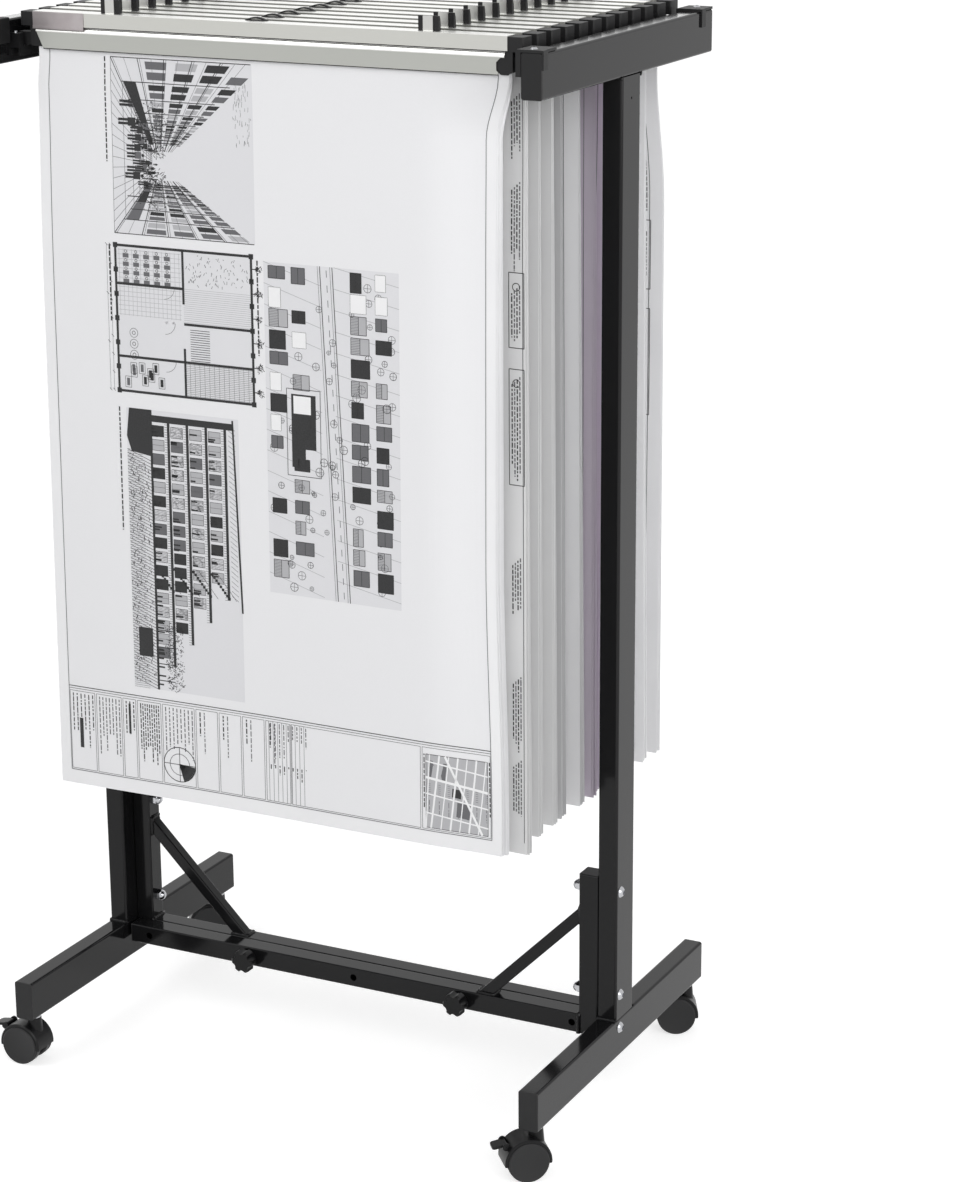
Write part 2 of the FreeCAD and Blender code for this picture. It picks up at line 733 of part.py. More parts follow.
# ---- casters --------------------------------------------------------------
def hood(with_brake):
    """Hood of a twin-wheel caster: swivel axis on Z, trailing along +X."""
    axle = Vector(wheel_trail, 0, wheel_radius)
    half = hood_half
    shell = Part.makeCylinder(shell_radius, 2 * half, axle - Y * half, Y)
    rims = [e for e in shell.Edges if len(e.Vertexes) == 1]
    shell = shell.makeChamfer(hood_rim, rims)
    low = wheel_radius - hood_below_axle
    reach = 2 * shell_radius
    shell = shell.common(box(-reach, reach, -reach, reach, low, low + reach))
    tower_base = wheel_radius + boss_radius
    tower_length = caster_height - stem_collar - tower_gap - tower_base
    tower = Part.makeCone(tower_radius, tower_top_radius, tower_length, Vector(0, 0, tower_base), Z)
    body = shell.fuse(tower)
    room = wheel_outer + hood_side_gap - web_half
    for start in (web_half, -wheel_outer - hood_side_gap):
        space = Part.makeCylinder(wheel_radius + hood_clearance, room, axle + Y * start, Y)
        body = body.cut(space)
    boss = Part.makeCylinder(boss_radius, 2 * web_half, axle - Y * web_half, Y)
    body = body.fuse(boss)
    if with_brake:
        for start in (lever_width / 2 + lever_side_gap, -lever_width / 2 - lever_side_gap - ear_thick):
            body = body.fuse(Part.makeCylinder(ear_radius, ear_thick, lever_pivot() + Y * start, Y))
        bore = lever_pin + lever_pin_fit
        body = body.cut(Part.makeCylinder(bore, 2 * half, lever_pivot() - Y * half, Y))
    body = body.cut(Part.makeCylinder(axle_radius + axle_fit, 2 * web_half, axle - Y * web_half, Y))
    stem_low = caster_height - stem_collar - tower_gap - stem_depth - past
    bore = Part.makeCylinder(stem_radius + stem_fit, stem_depth + 2 * past, Vector(0, 0, stem_low), Z)
    return body.cut(bore)


def lever_pivot():
    """Brake lever's pivot, beside the hood's shell."""
    reach = shell_radius + lever_offset
    turn = math.radians(lever_angle)
    return Vector(wheel_trail + reach * math.cos(turn), 0, wheel_radius + reach * math.sin(turn))


def brake_lever():
    """Foot tab with its barrel and pin."""
    half = lever_width / 2
    barrel = Part.makeCylinder(lever_barrel, lever_width, CENTRE - Y * half, Y)
    reach = lever_width / 2 + lever_side_gap + ear_thick
    pin = Part.makeCylinder(lever_pin, 2 * reach, CENTRE - Y * reach, Y)
    tab = box(0, lever_length, -half, half, lever_barrel - lever_thick, lever_barrel)
    tip = [e for e in tab.Edges if is_upright(e) and e.Vertexes[0].X > past]
    tab = tab.makeFillet(lever_corner, tip)
    lever = barrel.fuse([pin, tab])
    lever.rotate(CENTRE, Y, lever_droop)
    lever.translate(lever_pivot())
    return lever


def wheel_pair():
    """Two dished wheels and the axle between them."""
    profile = [
        Vector(axle_radius, wheel_inner, 0),
        Vector(wheel_radius - wheel_edge, wheel_inner, 0),
        Vector(wheel_radius, wheel_inner + wheel_edge, 0),
        Vector(wheel_radius, wheel_outer - wheel_edge, 0),
        Vector(wheel_radius - wheel_edge, wheel_outer, 0),
        Vector(wheel_dish_outer, wheel_outer, 0),
        Vector(wheel_dish_outer - wheel_dish, wheel_outer - wheel_dish, 0),
        Vector(wheel_dish_inner + wheel_dish, wheel_outer - wheel_dish, 0),
        Vector(wheel_dish_inner, wheel_outer, 0),
        Vector(axle_radius, wheel_outer, 0),
    ]
    disc = Part.Face(Part.makePolygon(profile + profile[:1])).revolve(CENTRE, Y, 360)
    axle = Part.makeCylinder(axle_radius, 2 * wheel_outer, CENTRE - Y * wheel_outer, Y)
    pieces = [disc, turned(disc, 180), axle]
    return [moved(piece, wheel_trail, 0, wheel_radius) for piece in pieces]


def parked(shape, corner):
    """A caster piece, turned as it is parked and set under its foot."""
    x = side_x if corner.endswith("right") else -side_x
    y = foot_end - caster_inset
    if corner.startswith("front"):
        y = -y
    return moved(turned(shape, caster_angles[corner]), x, y, 0)


# ---- files ----------------------------------------------------------------
def export(name, pieces):
    """Writes one sub-part, with its solids kept apart."""
    group = Part.Compound(pieces) if len(pieces) > 1 else pieces[0]
    moved(group, outline_shift_x, outline_shift_y, 0).exportStep("parts/" + name + ".step")


os.makedirs("parts", exist_ok=True)

export("right_side_frame", [side_frame(bar_y)])
export("left_side_frame", [left_of(side_frame(-bar_y))])
cross = cross_frame()
export("right_cross_frame", [cross])
export("left_cross_frame", [turned(cross, 180)])
plugs = tube_plugs()
export("right_tube_plugs", plugs)
export("left_tube_plugs", [turned(piece, 180) for piece in plugs])
bolts = frame_fasteners()
screws = arm_screws()
export("right_fasteners", bolts + screws)
export("left_fasteners", [turned(piece, 180) for piece in bolts] + [left_of(piece) for piece in screws])
clips = [stop_clip(start, screw_y) for start, screw_y in zip(clip_starts(), clip_screw_places())]
export("right_stop_clips", clips)
export("left_stop_clips", [left_of(piece) for piece in clips])
rail = runner()
export("right_runner", [rail])
export("left_runner", [left_of(rail)])

for name, step in (("knob_left", -1), ("knob_right", 1)):
    place = (step * hole_pitch, bar_y - bar_size / 2, foot_top - bar_size / 2)
    export(name, [moved(knob(), *place)])

hoods = {True: hood(True), False: hood(False)}
wheels = wheel_pair()
for corner in caster_angles:
    braked = corner.startswith("front")
    export("caster_hood_" + corner, [parked(hoods[braked], corner)])
    export("caster_wheels_" + corner, [parked(piece, corner) for piece in wheels])
    if braked:
        export("brake_lever_" + corner, [parked(brake_lever(), corner)])

rail_pieces = clamp_rail()
fitting_pieces = clamp_fittings()
sheet_pieces = clamp_sheets()
for number in range(clamp_count):
    y = arm_front + first_clamp + number * clamp_pitch
    label = "clamp_%02d_" % (number + 1)
    export(label + "rail", [moved(piece, 0, y, 0) for piece in rail_pieces])
    export(label + "fittings", [moved(piece, 0, y, 0) for piece in fitting_pieces])
    export(label + "sheets", [moved(piece, 0, y, 0) for piece in sheet_pieces])
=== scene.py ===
# %% [markdown]
# # A plan hanging rack
#
# Architects hang large drawings in spring clamps between two arms, on a black
# tube frame that rolls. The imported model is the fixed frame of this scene: it
# gives every place and size, and the cells below dress it. Lengths are in
# metres, so `mm` turns a size on a drawing into Blender's unit.

# %% Load the frame
import math
import random

import bpy
from mathutils import Matrix, Vector
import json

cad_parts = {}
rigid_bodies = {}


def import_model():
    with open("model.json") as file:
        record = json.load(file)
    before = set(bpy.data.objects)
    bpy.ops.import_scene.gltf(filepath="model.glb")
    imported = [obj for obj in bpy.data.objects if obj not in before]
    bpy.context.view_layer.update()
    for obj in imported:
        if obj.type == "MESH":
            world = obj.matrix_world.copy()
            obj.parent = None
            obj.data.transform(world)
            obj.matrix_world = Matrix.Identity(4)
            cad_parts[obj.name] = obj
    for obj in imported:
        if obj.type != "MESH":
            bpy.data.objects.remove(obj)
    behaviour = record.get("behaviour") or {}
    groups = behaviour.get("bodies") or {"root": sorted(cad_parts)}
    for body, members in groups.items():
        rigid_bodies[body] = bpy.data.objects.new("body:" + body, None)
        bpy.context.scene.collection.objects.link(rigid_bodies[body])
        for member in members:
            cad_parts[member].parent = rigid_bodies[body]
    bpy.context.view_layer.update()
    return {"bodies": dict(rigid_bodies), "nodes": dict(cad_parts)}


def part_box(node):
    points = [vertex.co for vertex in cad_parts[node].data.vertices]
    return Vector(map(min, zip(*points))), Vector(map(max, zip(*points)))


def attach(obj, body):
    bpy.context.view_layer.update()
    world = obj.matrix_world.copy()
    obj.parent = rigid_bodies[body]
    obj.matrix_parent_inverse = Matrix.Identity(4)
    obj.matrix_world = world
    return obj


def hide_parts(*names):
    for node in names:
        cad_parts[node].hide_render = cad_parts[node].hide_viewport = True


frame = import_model()
mm = 0.001


# %% [markdown]
# ## Helpers
#
# Colours are written as on a colour card, in sRGB hex, and Blender wants them
# linear. A node is added with its settings and its links in one call, which
# keeps a material as short as a recipe. A pattern's scale is the number of
# cells in a metre, so it comes straight from the size of one cell. Most finishes
# are a noise that drives bump, gloss or colour, and each has its helper.

# %% Colour, node and material helpers
def linear(card):
    """An sRGB hex colour as linear RGBA."""
    parts = [int(card[start:start + 2], 16) / 255 for start in (1, 3, 5)]
    return [c / 12.92 if c < 0.04045 else ((c + 0.055) / 1.055) ** 2.4 for c in parts] + [1.0]


def add(tree, kind, settings=None, links=None):
    """Adds a shader node, fills its sockets or options, and links its inputs."""
    made = tree.nodes.new("ShaderNode" + kind)
    for key, value in (settings or {}).items():
        if isinstance(key, int) or key in made.inputs:
            made.inputs[key].default_value = value
        else:
            setattr(made, key, value)
    for key, source in (links or {}).items():
        tree.links.new(source, made.inputs[key])
    return made


def finish_of(name, settings):
    """A material with one Principled shader; returns it, its tree and the shader."""
    material = bpy.data.materials.new(name)
    material.use_nodes = True
    tree = material.node_tree
    tree.nodes.clear()
    shader = add(tree, "BsdfPrincipled", settings)
    add(tree, "OutputMaterial", links={"Surface": shader.outputs["BSDF"]})
    return material, tree, shader


def cells(size):
    """Pattern scale for cells of that size in millimetres."""
    return 1 / (size * mm)


def noise(tree, size, detail):
    """Noise over the object, with cells of that size in millimetres."""
    place = add(tree, "TexCoord")
    return add(tree, "TexNoise", {"Scale": cells(size), "Detail": detail},
               {"Vector": place.outputs["Object"]})


def emboss(shader, texture, strength, depth):
    """A bump of that depth in millimetres, high where the texture is."""
    tree = shader.id_data
    bump = add(tree, "Bump", {"Strength": strength, "Distance": depth * mm},
               {"Height": texture.outputs["Fac"]})
    tree.links.new(bump.outputs["Normal"], shader.inputs["Normal"])


def vary_gloss(shader, texture, least, most):
    """A roughness that follows the texture between two values."""
    tree = shader.id_data
    gloss = add(tree, "MapRange", {"To Min": least, "To Max": most},
                {"Value": texture.outputs["Fac"]})
    tree.links.new(gloss.outputs["Result"], shader.inputs["Roughness"])


def vary_colour(shader, texture, first, second):
    """A base colour that follows the texture between two linear colours."""
    tree = shader.id_data
    tint = add(tree, "Mix", {"data_type": "RGBA", 6: first, 7: second},
               {0: texture.outputs["Fac"]})
    tree.links.new(tint.outputs[2], shader.inputs["Base Color"])


def new_object(name, data):
    """An object of the scene that shows this mesh, lamp or camera."""
    made = bpy.data.objects.new(name, data)
    bpy.context.scene.collection.objects.link(made)
    return made


def dress(name, material):
    """Gives a node of the frame a finished material."""
    part = frame["nodes"][name]
    for place in part.material_slots:
        place.material = material


# %% [markdown]
# ## Gloss black powder coat
#
# The tubes are welded steel, sprayed with dry powder and baked. The coat is a
# thick skin of black polyester: it shines, but has the faint waves of orange
# peel, about 2.5 mm across, which make reflections swim. A coarse noise varies
# the gloss a little, as hands and cloths do.

# %% Powder coat
powder_coat, tree, shader = finish_of("powder_coat_gloss_black", {
    "Base Color": linear("#161617"), "IOR": 1.29})
peel = noise(tree, 2.5, 2.0)
wipes = noise(tree, 60, 3.0)
emboss(shader, peel, strength=0.25, depth=0.06)
vary_gloss(shader, wipes, 0.08, 0.16)
for side in ("left", "right"):
    dress(side + "_side_frame", powder_coat)
    dress(side + "_cross_frame", powder_coat)
print("coated:", powder_coat.name)

# %% [markdown]
# ## Moulded ABS, nylon and rubbery wheels
#
# End plugs, clamp ends, grips, knobs and caster hoods are injection moulded.
# The mould is spark-eroded, which leaves a fine grain on the part: about
# 0.5 mm on the matt pieces, and much shallower on the shinier knobs and hoods.
# Grained plastic throws little light back, so its specular level is low.

# %% Moulded plastics
def moulded(name, card, rough, grain, depth, shine):
    """A black plastic with mould grain of that size and depth in millimetres."""
    material, tree, shader = finish_of(name, {
        "Base Color": linear(card), "IOR": 1.5, "Specular IOR Level": shine})
    pits = noise(tree, grain, 3.0)
    worn = noise(tree, 14, 4.0)
    emboss(shader, pits, strength=0.5, depth=depth)
    vary_gloss(shader, worn, rough - 0.07, rough + 0.07)
    return material


abs_grained = moulded("abs_black_fine_grain", "#141415", 0.5, 0.5, 0.05, shine=0.34)
nylon_half_gloss = moulded("nylon_black_half_gloss", "#121213", 0.34, 0.8, 0.02, shine=0.2)
wheel_rubber = moulded("polyurethane_black_tread", "#1a1a1b", 0.45, 0.7, 0.04, shine=0.35)
satin_enamel = moulded("enamel_black_satin", "#151516", 0.4, 1.2, 0.01, shine=0.3)
for side in ("left", "right"):
    dress(side + "_tube_plugs", abs_grained)
    dress(side + "_stop_clips", abs_grained)
    dress(side + "_runner", satin_enamel)
    dress("knob_" + side, nylon_half_gloss)
    for end in ("front_", "rear_"):
        dress("caster_hood_" + end + side, nylon_half_gloss)
        dress("caster_wheels_" + end + side, wheel_rubber)
    dress("brake_lever_front_" + side, nylon_half_gloss)
print("moulded:", abs_grained.name, nylon_half_gloss.name, wheel_rubber.name)

# %% [markdown]
# ## Satin anodised aluminium
#
# The clamps are extruded, brushed along their length and anodised. Brushing
# leaves hairlines that run along X, so the noise is stretched: cells of 80 mm
# along the clamp and 0.5 mm across it. They set both the bump and the
# roughness, and reflections smear across the hairlines. A ramp over the height
# gives each band of the profile its own tone: the jaw is a little darker than
# the channel, and the finger plates are plain mill finish. The bead and the top
# edge are painted lighter, as painted highlights, and the groove over the bead
# and the jaw's lower edge are painted dark, as painted shade.

# %% Aluminium
aluminium, tree, shader = finish_of("aluminium_satin_anodised", {"Metallic": 1.0})
place = add(tree, "TexCoord")
along = add(tree, "Mapping", {"Scale": (cells(80), cells(0.5), cells(0.5))},
            {"Vector": place.outputs["Object"]})
hairlines = add(tree, "TexNoise", {"Scale": 1.0, "Detail": 3.0},
                {"Vector": along.outputs["Vector"]})
emboss(shader, hairlines, strength=0.3, depth=0.02)
vary_gloss(shader, hairlines, 0.28, 0.44)

finger_plate = 16 * mm     # how far the finger plates stand above the channel
channel_height = 17 * mm
bead_height = 6 * mm
rail_low, rail_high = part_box("clamp_01_rail")
channel_top = rail_high.z - finger_plate
channel_base = channel_top - channel_height
bead_base = channel_base - bead_height
height = add(tree, "SeparateXYZ", links={0: place.outputs["Object"]})
share = add(tree, "MapRange", {"From Min": rail_low.z, "From Max": rail_high.z},
            {"Value": height.outputs["Z"]})
tone = add(tree, "ValToRGB", links={"Fac": share.outputs["Result"]})
tone.color_ramp.interpolation = "CONSTANT"
# Tones by height. The bead band and the thin band at the channel's top edge are painted
# highlights; the groove band over the bead and the thin band at the jaw's lower edge are painted
# shade.
bands_with_painted_light = [(rail_low.z, "#2c2c2b"), (rail_low.z + 0.9 * mm, "#b5b6b1"), (bead_base, "#eaeae7"),
         (channel_base - 0.4 * mm, "#1c1c1c"), (channel_base + 0.9 * mm, "#c8c8c3"),
         (channel_top - 0.4 * mm, "#f2f2ef"), (channel_top + 0.5 * mm, "#c8c8c5")]
for i, (start, card) in enumerate(bands_with_painted_light):
    stops = tone.color_ramp.elements
    stop = stops[i] if i < 2 else stops.new(1.0)
    stop.position = (start - rail_low.z) / (rail_high.z - rail_low.z)
    stop.color = linear(card)
tree.links.new(tone.outputs["Color"], shader.inputs["Base Color"])

# %% [markdown]
# ## Bright zinc plate
#
# Bolts, domed nuts and caster stems are plated steel. Zinc is whiter and
# softer than chrome, with a slight mottle where the bath ran off.

# %% Zinc plate
zinc, tree, shader = finish_of("steel_zinc_plated", {
    "Base Color": linear("#b4b5b8"), "Metallic": 1.0})
mottle = noise(tree, 3, 3.0)
vary_gloss(shader, mottle, 0.12, 0.24)
for side in ("left", "right"):
    dress(side + "_fasteners", zinc)
clamp_names = [name for name in frame["bodies"] if name.startswith("clamp_")]
for name in clamp_names:
    dress(name + "_rail", aluminium)
    dress(name + "_fittings", abs_grained)
print("clamps:", len(clamp_names))

# %% [markdown]
# ## Drawing paper and ink
#
# Plotter paper is matt and slightly mottled: fibres of about 1 mm make a fine
# tooth, and broad cells of 70 mm stand for the unevenness of a large sheet.
# Two jobs in the middle are on lilac paper and one is on darker grey paper. The
# three behind the front one are painted duller than plotter white, as painted
# shade between the bundles.

# %% Paper and ink
def paper(name, card, shade):
    """Matt paper whose colour drifts towards a second one."""
    material, tree, shader = finish_of(name, {"Roughness": 0.85, "IOR": 1.45})
    fibres = noise(tree, 1.0, 4.0)
    broad = noise(tree, 70, 2.0)
    vary_colour(shader, broad, linear(card), linear(shade))
    emboss(shader, fibres, strength=0.15, depth=0.05)
    return material


def ink(name, card):
    """Plotter ink, dry on paper, uneven where the fibres drank it."""
    material, tree, shader = finish_of(name, {"Roughness": 0.7})
    soak = noise(tree, 1.5, 4.0)
    full = linear(card)
    thin = [c + 0.03 for c in full[:3]] + [1.0]
    vary_colour(shader, soak, full, thin)
    return material


white_paper = paper("paper_plotter_white", "#f6f6f7", "#efeff1")
# Duller paper for the three bundles behind the front one: painted shade between the bundles.
shade_painted_paper = paper("paper_painted_shade", "#e1e1e1", "#d8d8d9")
lilac_paper = paper("paper_tinted_lilac", "#f0e8f3", "#e9dded")
grey_paper = paper("paper_darker_grey", "#cacacb", "#c1c1c3")
papers_by_bundle = {2: shade_painted_paper, 3: shade_painted_paper, 4: shade_painted_paper,
          5: grey_paper, 7: lilac_paper, 8: lilac_paper}
inks = {
    "white": ink("ink_left_white", "#f2f2f3"),
    "tint": ink("ink_background_tint", "#ececee"),
    "wash": ink("ink_wash", "#e0e0e3"),
    "pale": ink("ink_pale_grey", "#b4b4b7"),
    "grey": ink("ink_grey", "#626265"),
    "black": ink("ink_black", "#151517"),
}
print("inks:", len(inks))

# %% [markdown]
# ## How a sheet hangs
#
# A sheet is flat between the jaws. Below them it is free: the bundle swings a
# few millimetres, its layers fan apart, and wide paper bows. `hang` turns a
# place on the flat sheet, `across` from its left edge and `down` from its top,
# into a point in the rack, so that the paper and the print on it agree.

# %% Sheets as surfaces
sheet_low, sheet_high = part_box("clamp_01_sheets")
sheet_width = (sheet_high.x - sheet_low.x) / mm
sheet_length = (sheet_high.z - sheet_low.z) / mm
bundle_depth = (sheet_high.y - sheet_low.y) / mm
jaw_grip = 21.0            # how far the jaws reach down the sheet
layers = 7                 # sheets drawn in each bundle
fan = 1.5                  # extra gap between two layers at the bottom
edge_depth = 0.6           # how far a sheet's edges are turned back
free_reach = 200           # height below the jaws over which a sheet comes free
bow_depth, wave_depth = 2.5, 0.5         # one slow bow and a quicker wave across
slip_wide, drop_high = 1.2, 1.5          # how badly the layers are aligned
# How far each bundle's lower edge hangs out of plumb: to the rear, to the right.
swings = (-7, -13, 3, 4, -3, 4, 1, -8, 0, 0, 3, 6)
skews = (0, 10, 1, 2, 5, 4, 2, -2, 0, 0, 6, 8)
# How far right each bundle was put in its jaws.
places = (0, 1, -1, -2, -9, -4, 0, 0, 0, 0, -2, -3)
# The front bundle's right margin turns back below the jaws and eases out lower.
margin_turn = 110.0        # width of the margin that turns
tuck_depth = 20.0          # how far it is drawn in
tuck_back = 0.45           # how far it goes back for each millimetre it is drawn in
tuck_reach = 70.0          # height over which it is drawn in
release_start = 560.0      # where it starts to ease out
release_reach = 320.0      # height over which it eases out
# Its left margin is gathered in at the jaws' slanted end, in a short and a long fall.
gather_wide = 150.0        # width of the margin that is gathered
short_gather, short_fall = 3.5, 45
long_gather, long_fall = 3.0, 290
# The last bundle's right side swells out below the jaws.
swell_depth, swell_start, swell_reach = 11.0, 60, 150


def ease(x):
    """0 below 0, 1 above 1, and smooth between."""
    x = min(max(x, 0.0), 1.0)
    return x * x * (3 - 2 * x)


def tuck(across, down):
    """How far the front bundle's right margin is drawn in below the jaws."""
    drawn = tuck_depth * ease((down - jaw_grip) / tuck_reach)
    drawn *= 1 - 0.5 * ease((down - release_start) / release_reach)
    return drawn * ease((across - sheet_width + margin_turn) / margin_turn)


def gather(across, down):
    """How far the front bundle's left margin is drawn in below the jaws' slanted end."""
    below = down - jaw_grip
    drawn = short_gather * (1 - ease(below / short_fall))
    drawn += long_gather * (1 - ease(below / long_fall))
    return drawn * (1 - ease(across / gather_wide))


def hang(number, layer, across, down, lift=0.0):
    """The point of a sheet, with lift millimetres in front of it."""
    low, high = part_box("clamp_%02d_sheets" % number)
    chance = random.Random(100 * number + layer)
    slip, drop, wave = (chance.uniform(-1, 1) for _ in range(3))
    share = down / sheet_length
    free = ease((down - jaw_grip) / free_reach)
    side = (across - sheet_width / 2) / (sheet_width / 2)
    spread = bundle_depth / layers * (layer + 0.5)
    rest = layer - (layers - 1) / 2
    back = spread + free * share * (swings[number - 1] + fan * rest)
    back += free * bow_depth * math.sin(2.2 * side + number) * share
    back += free * wave_depth * (wave + 1) * share * math.sin(5 * side + 3 * share)
    right = across + places[number - 1] + skews[number - 1] * share + slip_wide * slip
    if number == len(places):
        swell = swell_depth * ease((down - swell_start) / swell_reach)
        right += swell * (1 - share) * across / sheet_width
    if number == 1:
        drawn, turned = gather(across, down), tuck(across, down)
        right += drawn - turned * (1 - 0.03 * layer)
        dip = free * drawn * math.sin(math.pi * min(across / gather_wide, 1))
        back += tuck_back * turned - dip
    tilt = skews[number - 1] / sheet_length * (across - sheet_width / 2)
    return Vector((low.x + right * mm, low.y + (back - lift) * mm,
                   high.z - (down + drop_high * (drop + 1) + tilt) * mm))


print("sheet:", round(sheet_width), "x", round(sheet_length), "mm")

# %% [markdown]
# ## The bundles
#
# Each sheet is a grid, fine enough to bend smoothly, with more columns at the
# margins that turn. Seven sheets a bundle are enough to show a stack of paper
# without slowing the render. Each stands for a few real sheets, so its sides
# and lower edge are turned back by most of the gap to the next one, and the
# bundle shows white paper edges from the side.

# %% Build the sheets
def surface(name, points, faces, crease=None):
    """A smooth mesh, sharp where its faces turn by more than crease degrees."""
    mesh = bpy.data.meshes.new(name)
    mesh.from_pydata(points, [], faces)
    mesh.shade_smooth()
    if crease:
        mesh.set_sharp_from_angle(angle=math.radians(crease))
    return mesh


def grid_mesh(name, columns, rows, point):
    """A mesh over all columns and rows, with point(column, row) for each."""
    corners = [point(a, d) for d in rows for a in columns]
    wide = len(columns)
    faces = [(r * wide + c, (r + 1) * wide + c, (r + 1) * wide + c + 1, r * wide + c + 1)
             for r in range(len(rows) - 1) for c in range(wide - 1)]
    return surface(name, corners, faces, crease=40)


def steps(start, end, count):
    """Evenly spaced values from start to end."""
    return [start + (end - start) * i / count for i in range(count + 1)]


def piece(name, mesh, material, body):
    """A new object with one material, riding on a body."""
    mesh.materials.append(material)
    made = new_object(name, mesh)
    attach(made, body)
    return made


margin = sheet_width - margin_turn
below = jaw_grip + 72.0    # under it the rows are wider apart
columns = (steps(0, gather_wide, 8)[:-1] + steps(gather_wide, margin, 10)[:-1]
           + steps(margin, sheet_width, 12))
rows = (steps(0, jaw_grip, 2)[:-1] + steps(jaw_grip, below, 12)[:-1]
        + steps(below, sheet_length, 26))
columns = [(0, -edge_depth)] + [(a, 0) for a in columns] + [(sheet_width, -edge_depth)]
rows = [(d, 0) for d in rows] + [(sheet_length, -edge_depth)]
sheets = {}
for number in range(1, len(clamp_names) + 1):
    body = "clamp_%02d" % number
    # Bundles 2 to 4 get the duller paper, which is painted shade.
    sheet_paper = papers_by_bundle.get(number, white_paper)
    for layer in range(layers):
        name = "sheet_%02d_%d" % (number, layer + 1)
        mesh = grid_mesh(name, columns, rows,
                         lambda a, d, n=number, i=layer: hang(n, i, a[0], d[0], min(a[1], d[1])))
        made = piece(name, mesh, sheet_paper, body)
        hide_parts(body + "_sheets")
        sheets[number, layer] = made
print("sheets:", len(sheets))

# %% [markdown]
# ## Print
#
# Lines and blocks of ink are thin strips laid a few tenths of a millimetre in
# front of the sheet, the darker inks over the paler ones. They are drawn in the
# drawing's own directions: `a` runs down the hung sheet, which is left to right
# on the drawing, and `b` runs across it, which is upwards. Long strips are cut
# every 10 mm so that they bend with the paper. A faint grey tint covers the
# whole drawing inside its frame, so the margins stay whiter; it is cut where
# the sheet itself bends.

# %% Ink strips
ink_height = {"tint": 0.12, "wash": 0.17, "pale": 0.22, "grey": 0.27, "black": 0.32, "white": 0.37}
strip_cut = 10.0


def cuts(start, end):
    """Places to cut a strip at, with both its ends."""
    return steps(start, end, max(1, math.ceil(abs(end - start) / strip_cut)))


class Print:
    """Ink strips for one sheet, sorted by ink."""

    def __init__(self, number, layer):
        self.number, self.layer = number, layer
        self.quads = {name: [] for name in inks}

    def quad(self, name, corners):
        self.quads[name].append([hang(self.number, self.layer, b, a, ink_height[name])
                                 for a, b in corners])

    def tiles(self, name, downs, acrosses):
        """A filled rectangle, cut at these places."""
        for a, a_next in zip(downs, downs[1:]):
            for b, b_next in zip(acrosses, acrosses[1:]):
                self.quad(name, [(a, b), (a_next, b), (a_next, b_next), (a, b_next)])

    def block(self, name, a0, b0, a1, b1):
        """A filled rectangle."""
        self.tiles(name, cuts(a0, a1), cuts(b0, b1))

    def cover(self, name, a0, b0, a1, b1):
        """A filled rectangle, cut where the sheet's own grid is."""
        self.tiles(name, [a0] + [d for d, _ in rows if a0 < d < a1] + [a1],
                   [b0] + [c for c, _ in columns if b0 < c < b1] + [b1])

    def line(self, name, a0, b0, a1, b1, width=0.6):
        """A straight line between two points."""
        reach = math.hypot(a1 - a0, b1 - b0) or 1.0
        na, nb = -(b1 - b0) / reach * width / 2, (a1 - a0) / reach * width / 2
        pieces = max(1, math.ceil(reach / strip_cut))
        for i in range(pieces):
            f, g = i / pieces, (i + 1) / pieces
            pa, pb = a0 + (a1 - a0) * f, b0 + (b1 - b0) * f
            qa, qb = a0 + (a1 - a0) * g, b0 + (b1 - b0) * g
            self.quad(name, [(pa - na, pb - nb), (qa - na, qb - nb),
                             (qa + na, qb + nb), (pa + na, pb + nb)])

    def frame(self, name, a0, b0, a1, b1, width=0.6):
        """The outline of a rectangle."""
        corners = [(a0, b0), (a1, b0), (a1, b1), (a0, b1)]
        for start, end in zip(corners, corners[1:] + corners[:1]):
            self.line(name, *start, *end, width)

    def ring(self, name, a, b, radius, width=0.6, turns=14):
        """A circle."""
        for i in range(turns):
            f, g = 2 * math.pi * i / turns, 2 * math.pi * (i + 1) / turns
            self.line(name, a + radius * math.cos(f), b + radius * math.sin(f),
                      a + radius * math.cos(g), b + radius * math.sin(g), width)

    def note(self, name, a, b, length, chance, height=1.3):
        """A row of short dashes, as writing looks from afar."""
        end = a + length
        while a < end:
            word = chance.uniform(2, 7)
            self.block(name, a, b, min(a + word, end), b + height)
            a += word + chance.uniform(1.0, 2.0)

    def make(self, body, title):
        """Turns the strips into one object per ink."""
        made = []
        for name, quads in self.quads.items():
            if not quads:
                continue
            points = [p for quad in quads for p in quad]
            faces = [tuple(range(4 * i, 4 * i + 4)) for i in range(len(quads))]
            mesh = bpy.data.meshes.new(title + "_" + name)
            mesh.from_pydata(points, [], faces)
            made.append(piece(mesh.name, mesh, inks[name], body))
        return made


# %% [markdown]
# ## What is drawn on the front sheet
#
# The job is a made-up building: a street view, a floor plan, a section and a
# site plan, with a border and a strip of title fields. Each panel is drawn by
# a short function from rules, such as a row of windows, and nothing on it is
# readable writing.

# %% Panels
def draw_tree(art, a, b, radius, chance):
    """A tree seen from the front: trunk, two boughs and a scribbled crown."""
    crown = b + radius * 1.8
    art.line("black", a, b, a, crown, 1.1)
    art.line("black", a, b + radius, a - radius * 0.5, crown, 0.7)
    art.line("black", a, b + radius, a + radius * 0.5, crown + 2, 0.7)
    for _ in range(int(radius * 7)):
        turn = chance.uniform(0, 2 * math.pi)
        reach = radius * math.sqrt(chance.uniform(0.02, 1.0))
        ca, cb = a + reach * math.cos(turn), crown + reach * math.sin(turn)
        art.line(chance.choice(("black", "grey")), ca, cb,
                 ca + chance.uniform(-2.5, 2.5), cb + chance.uniform(-2.5, 2.5), 0.7)


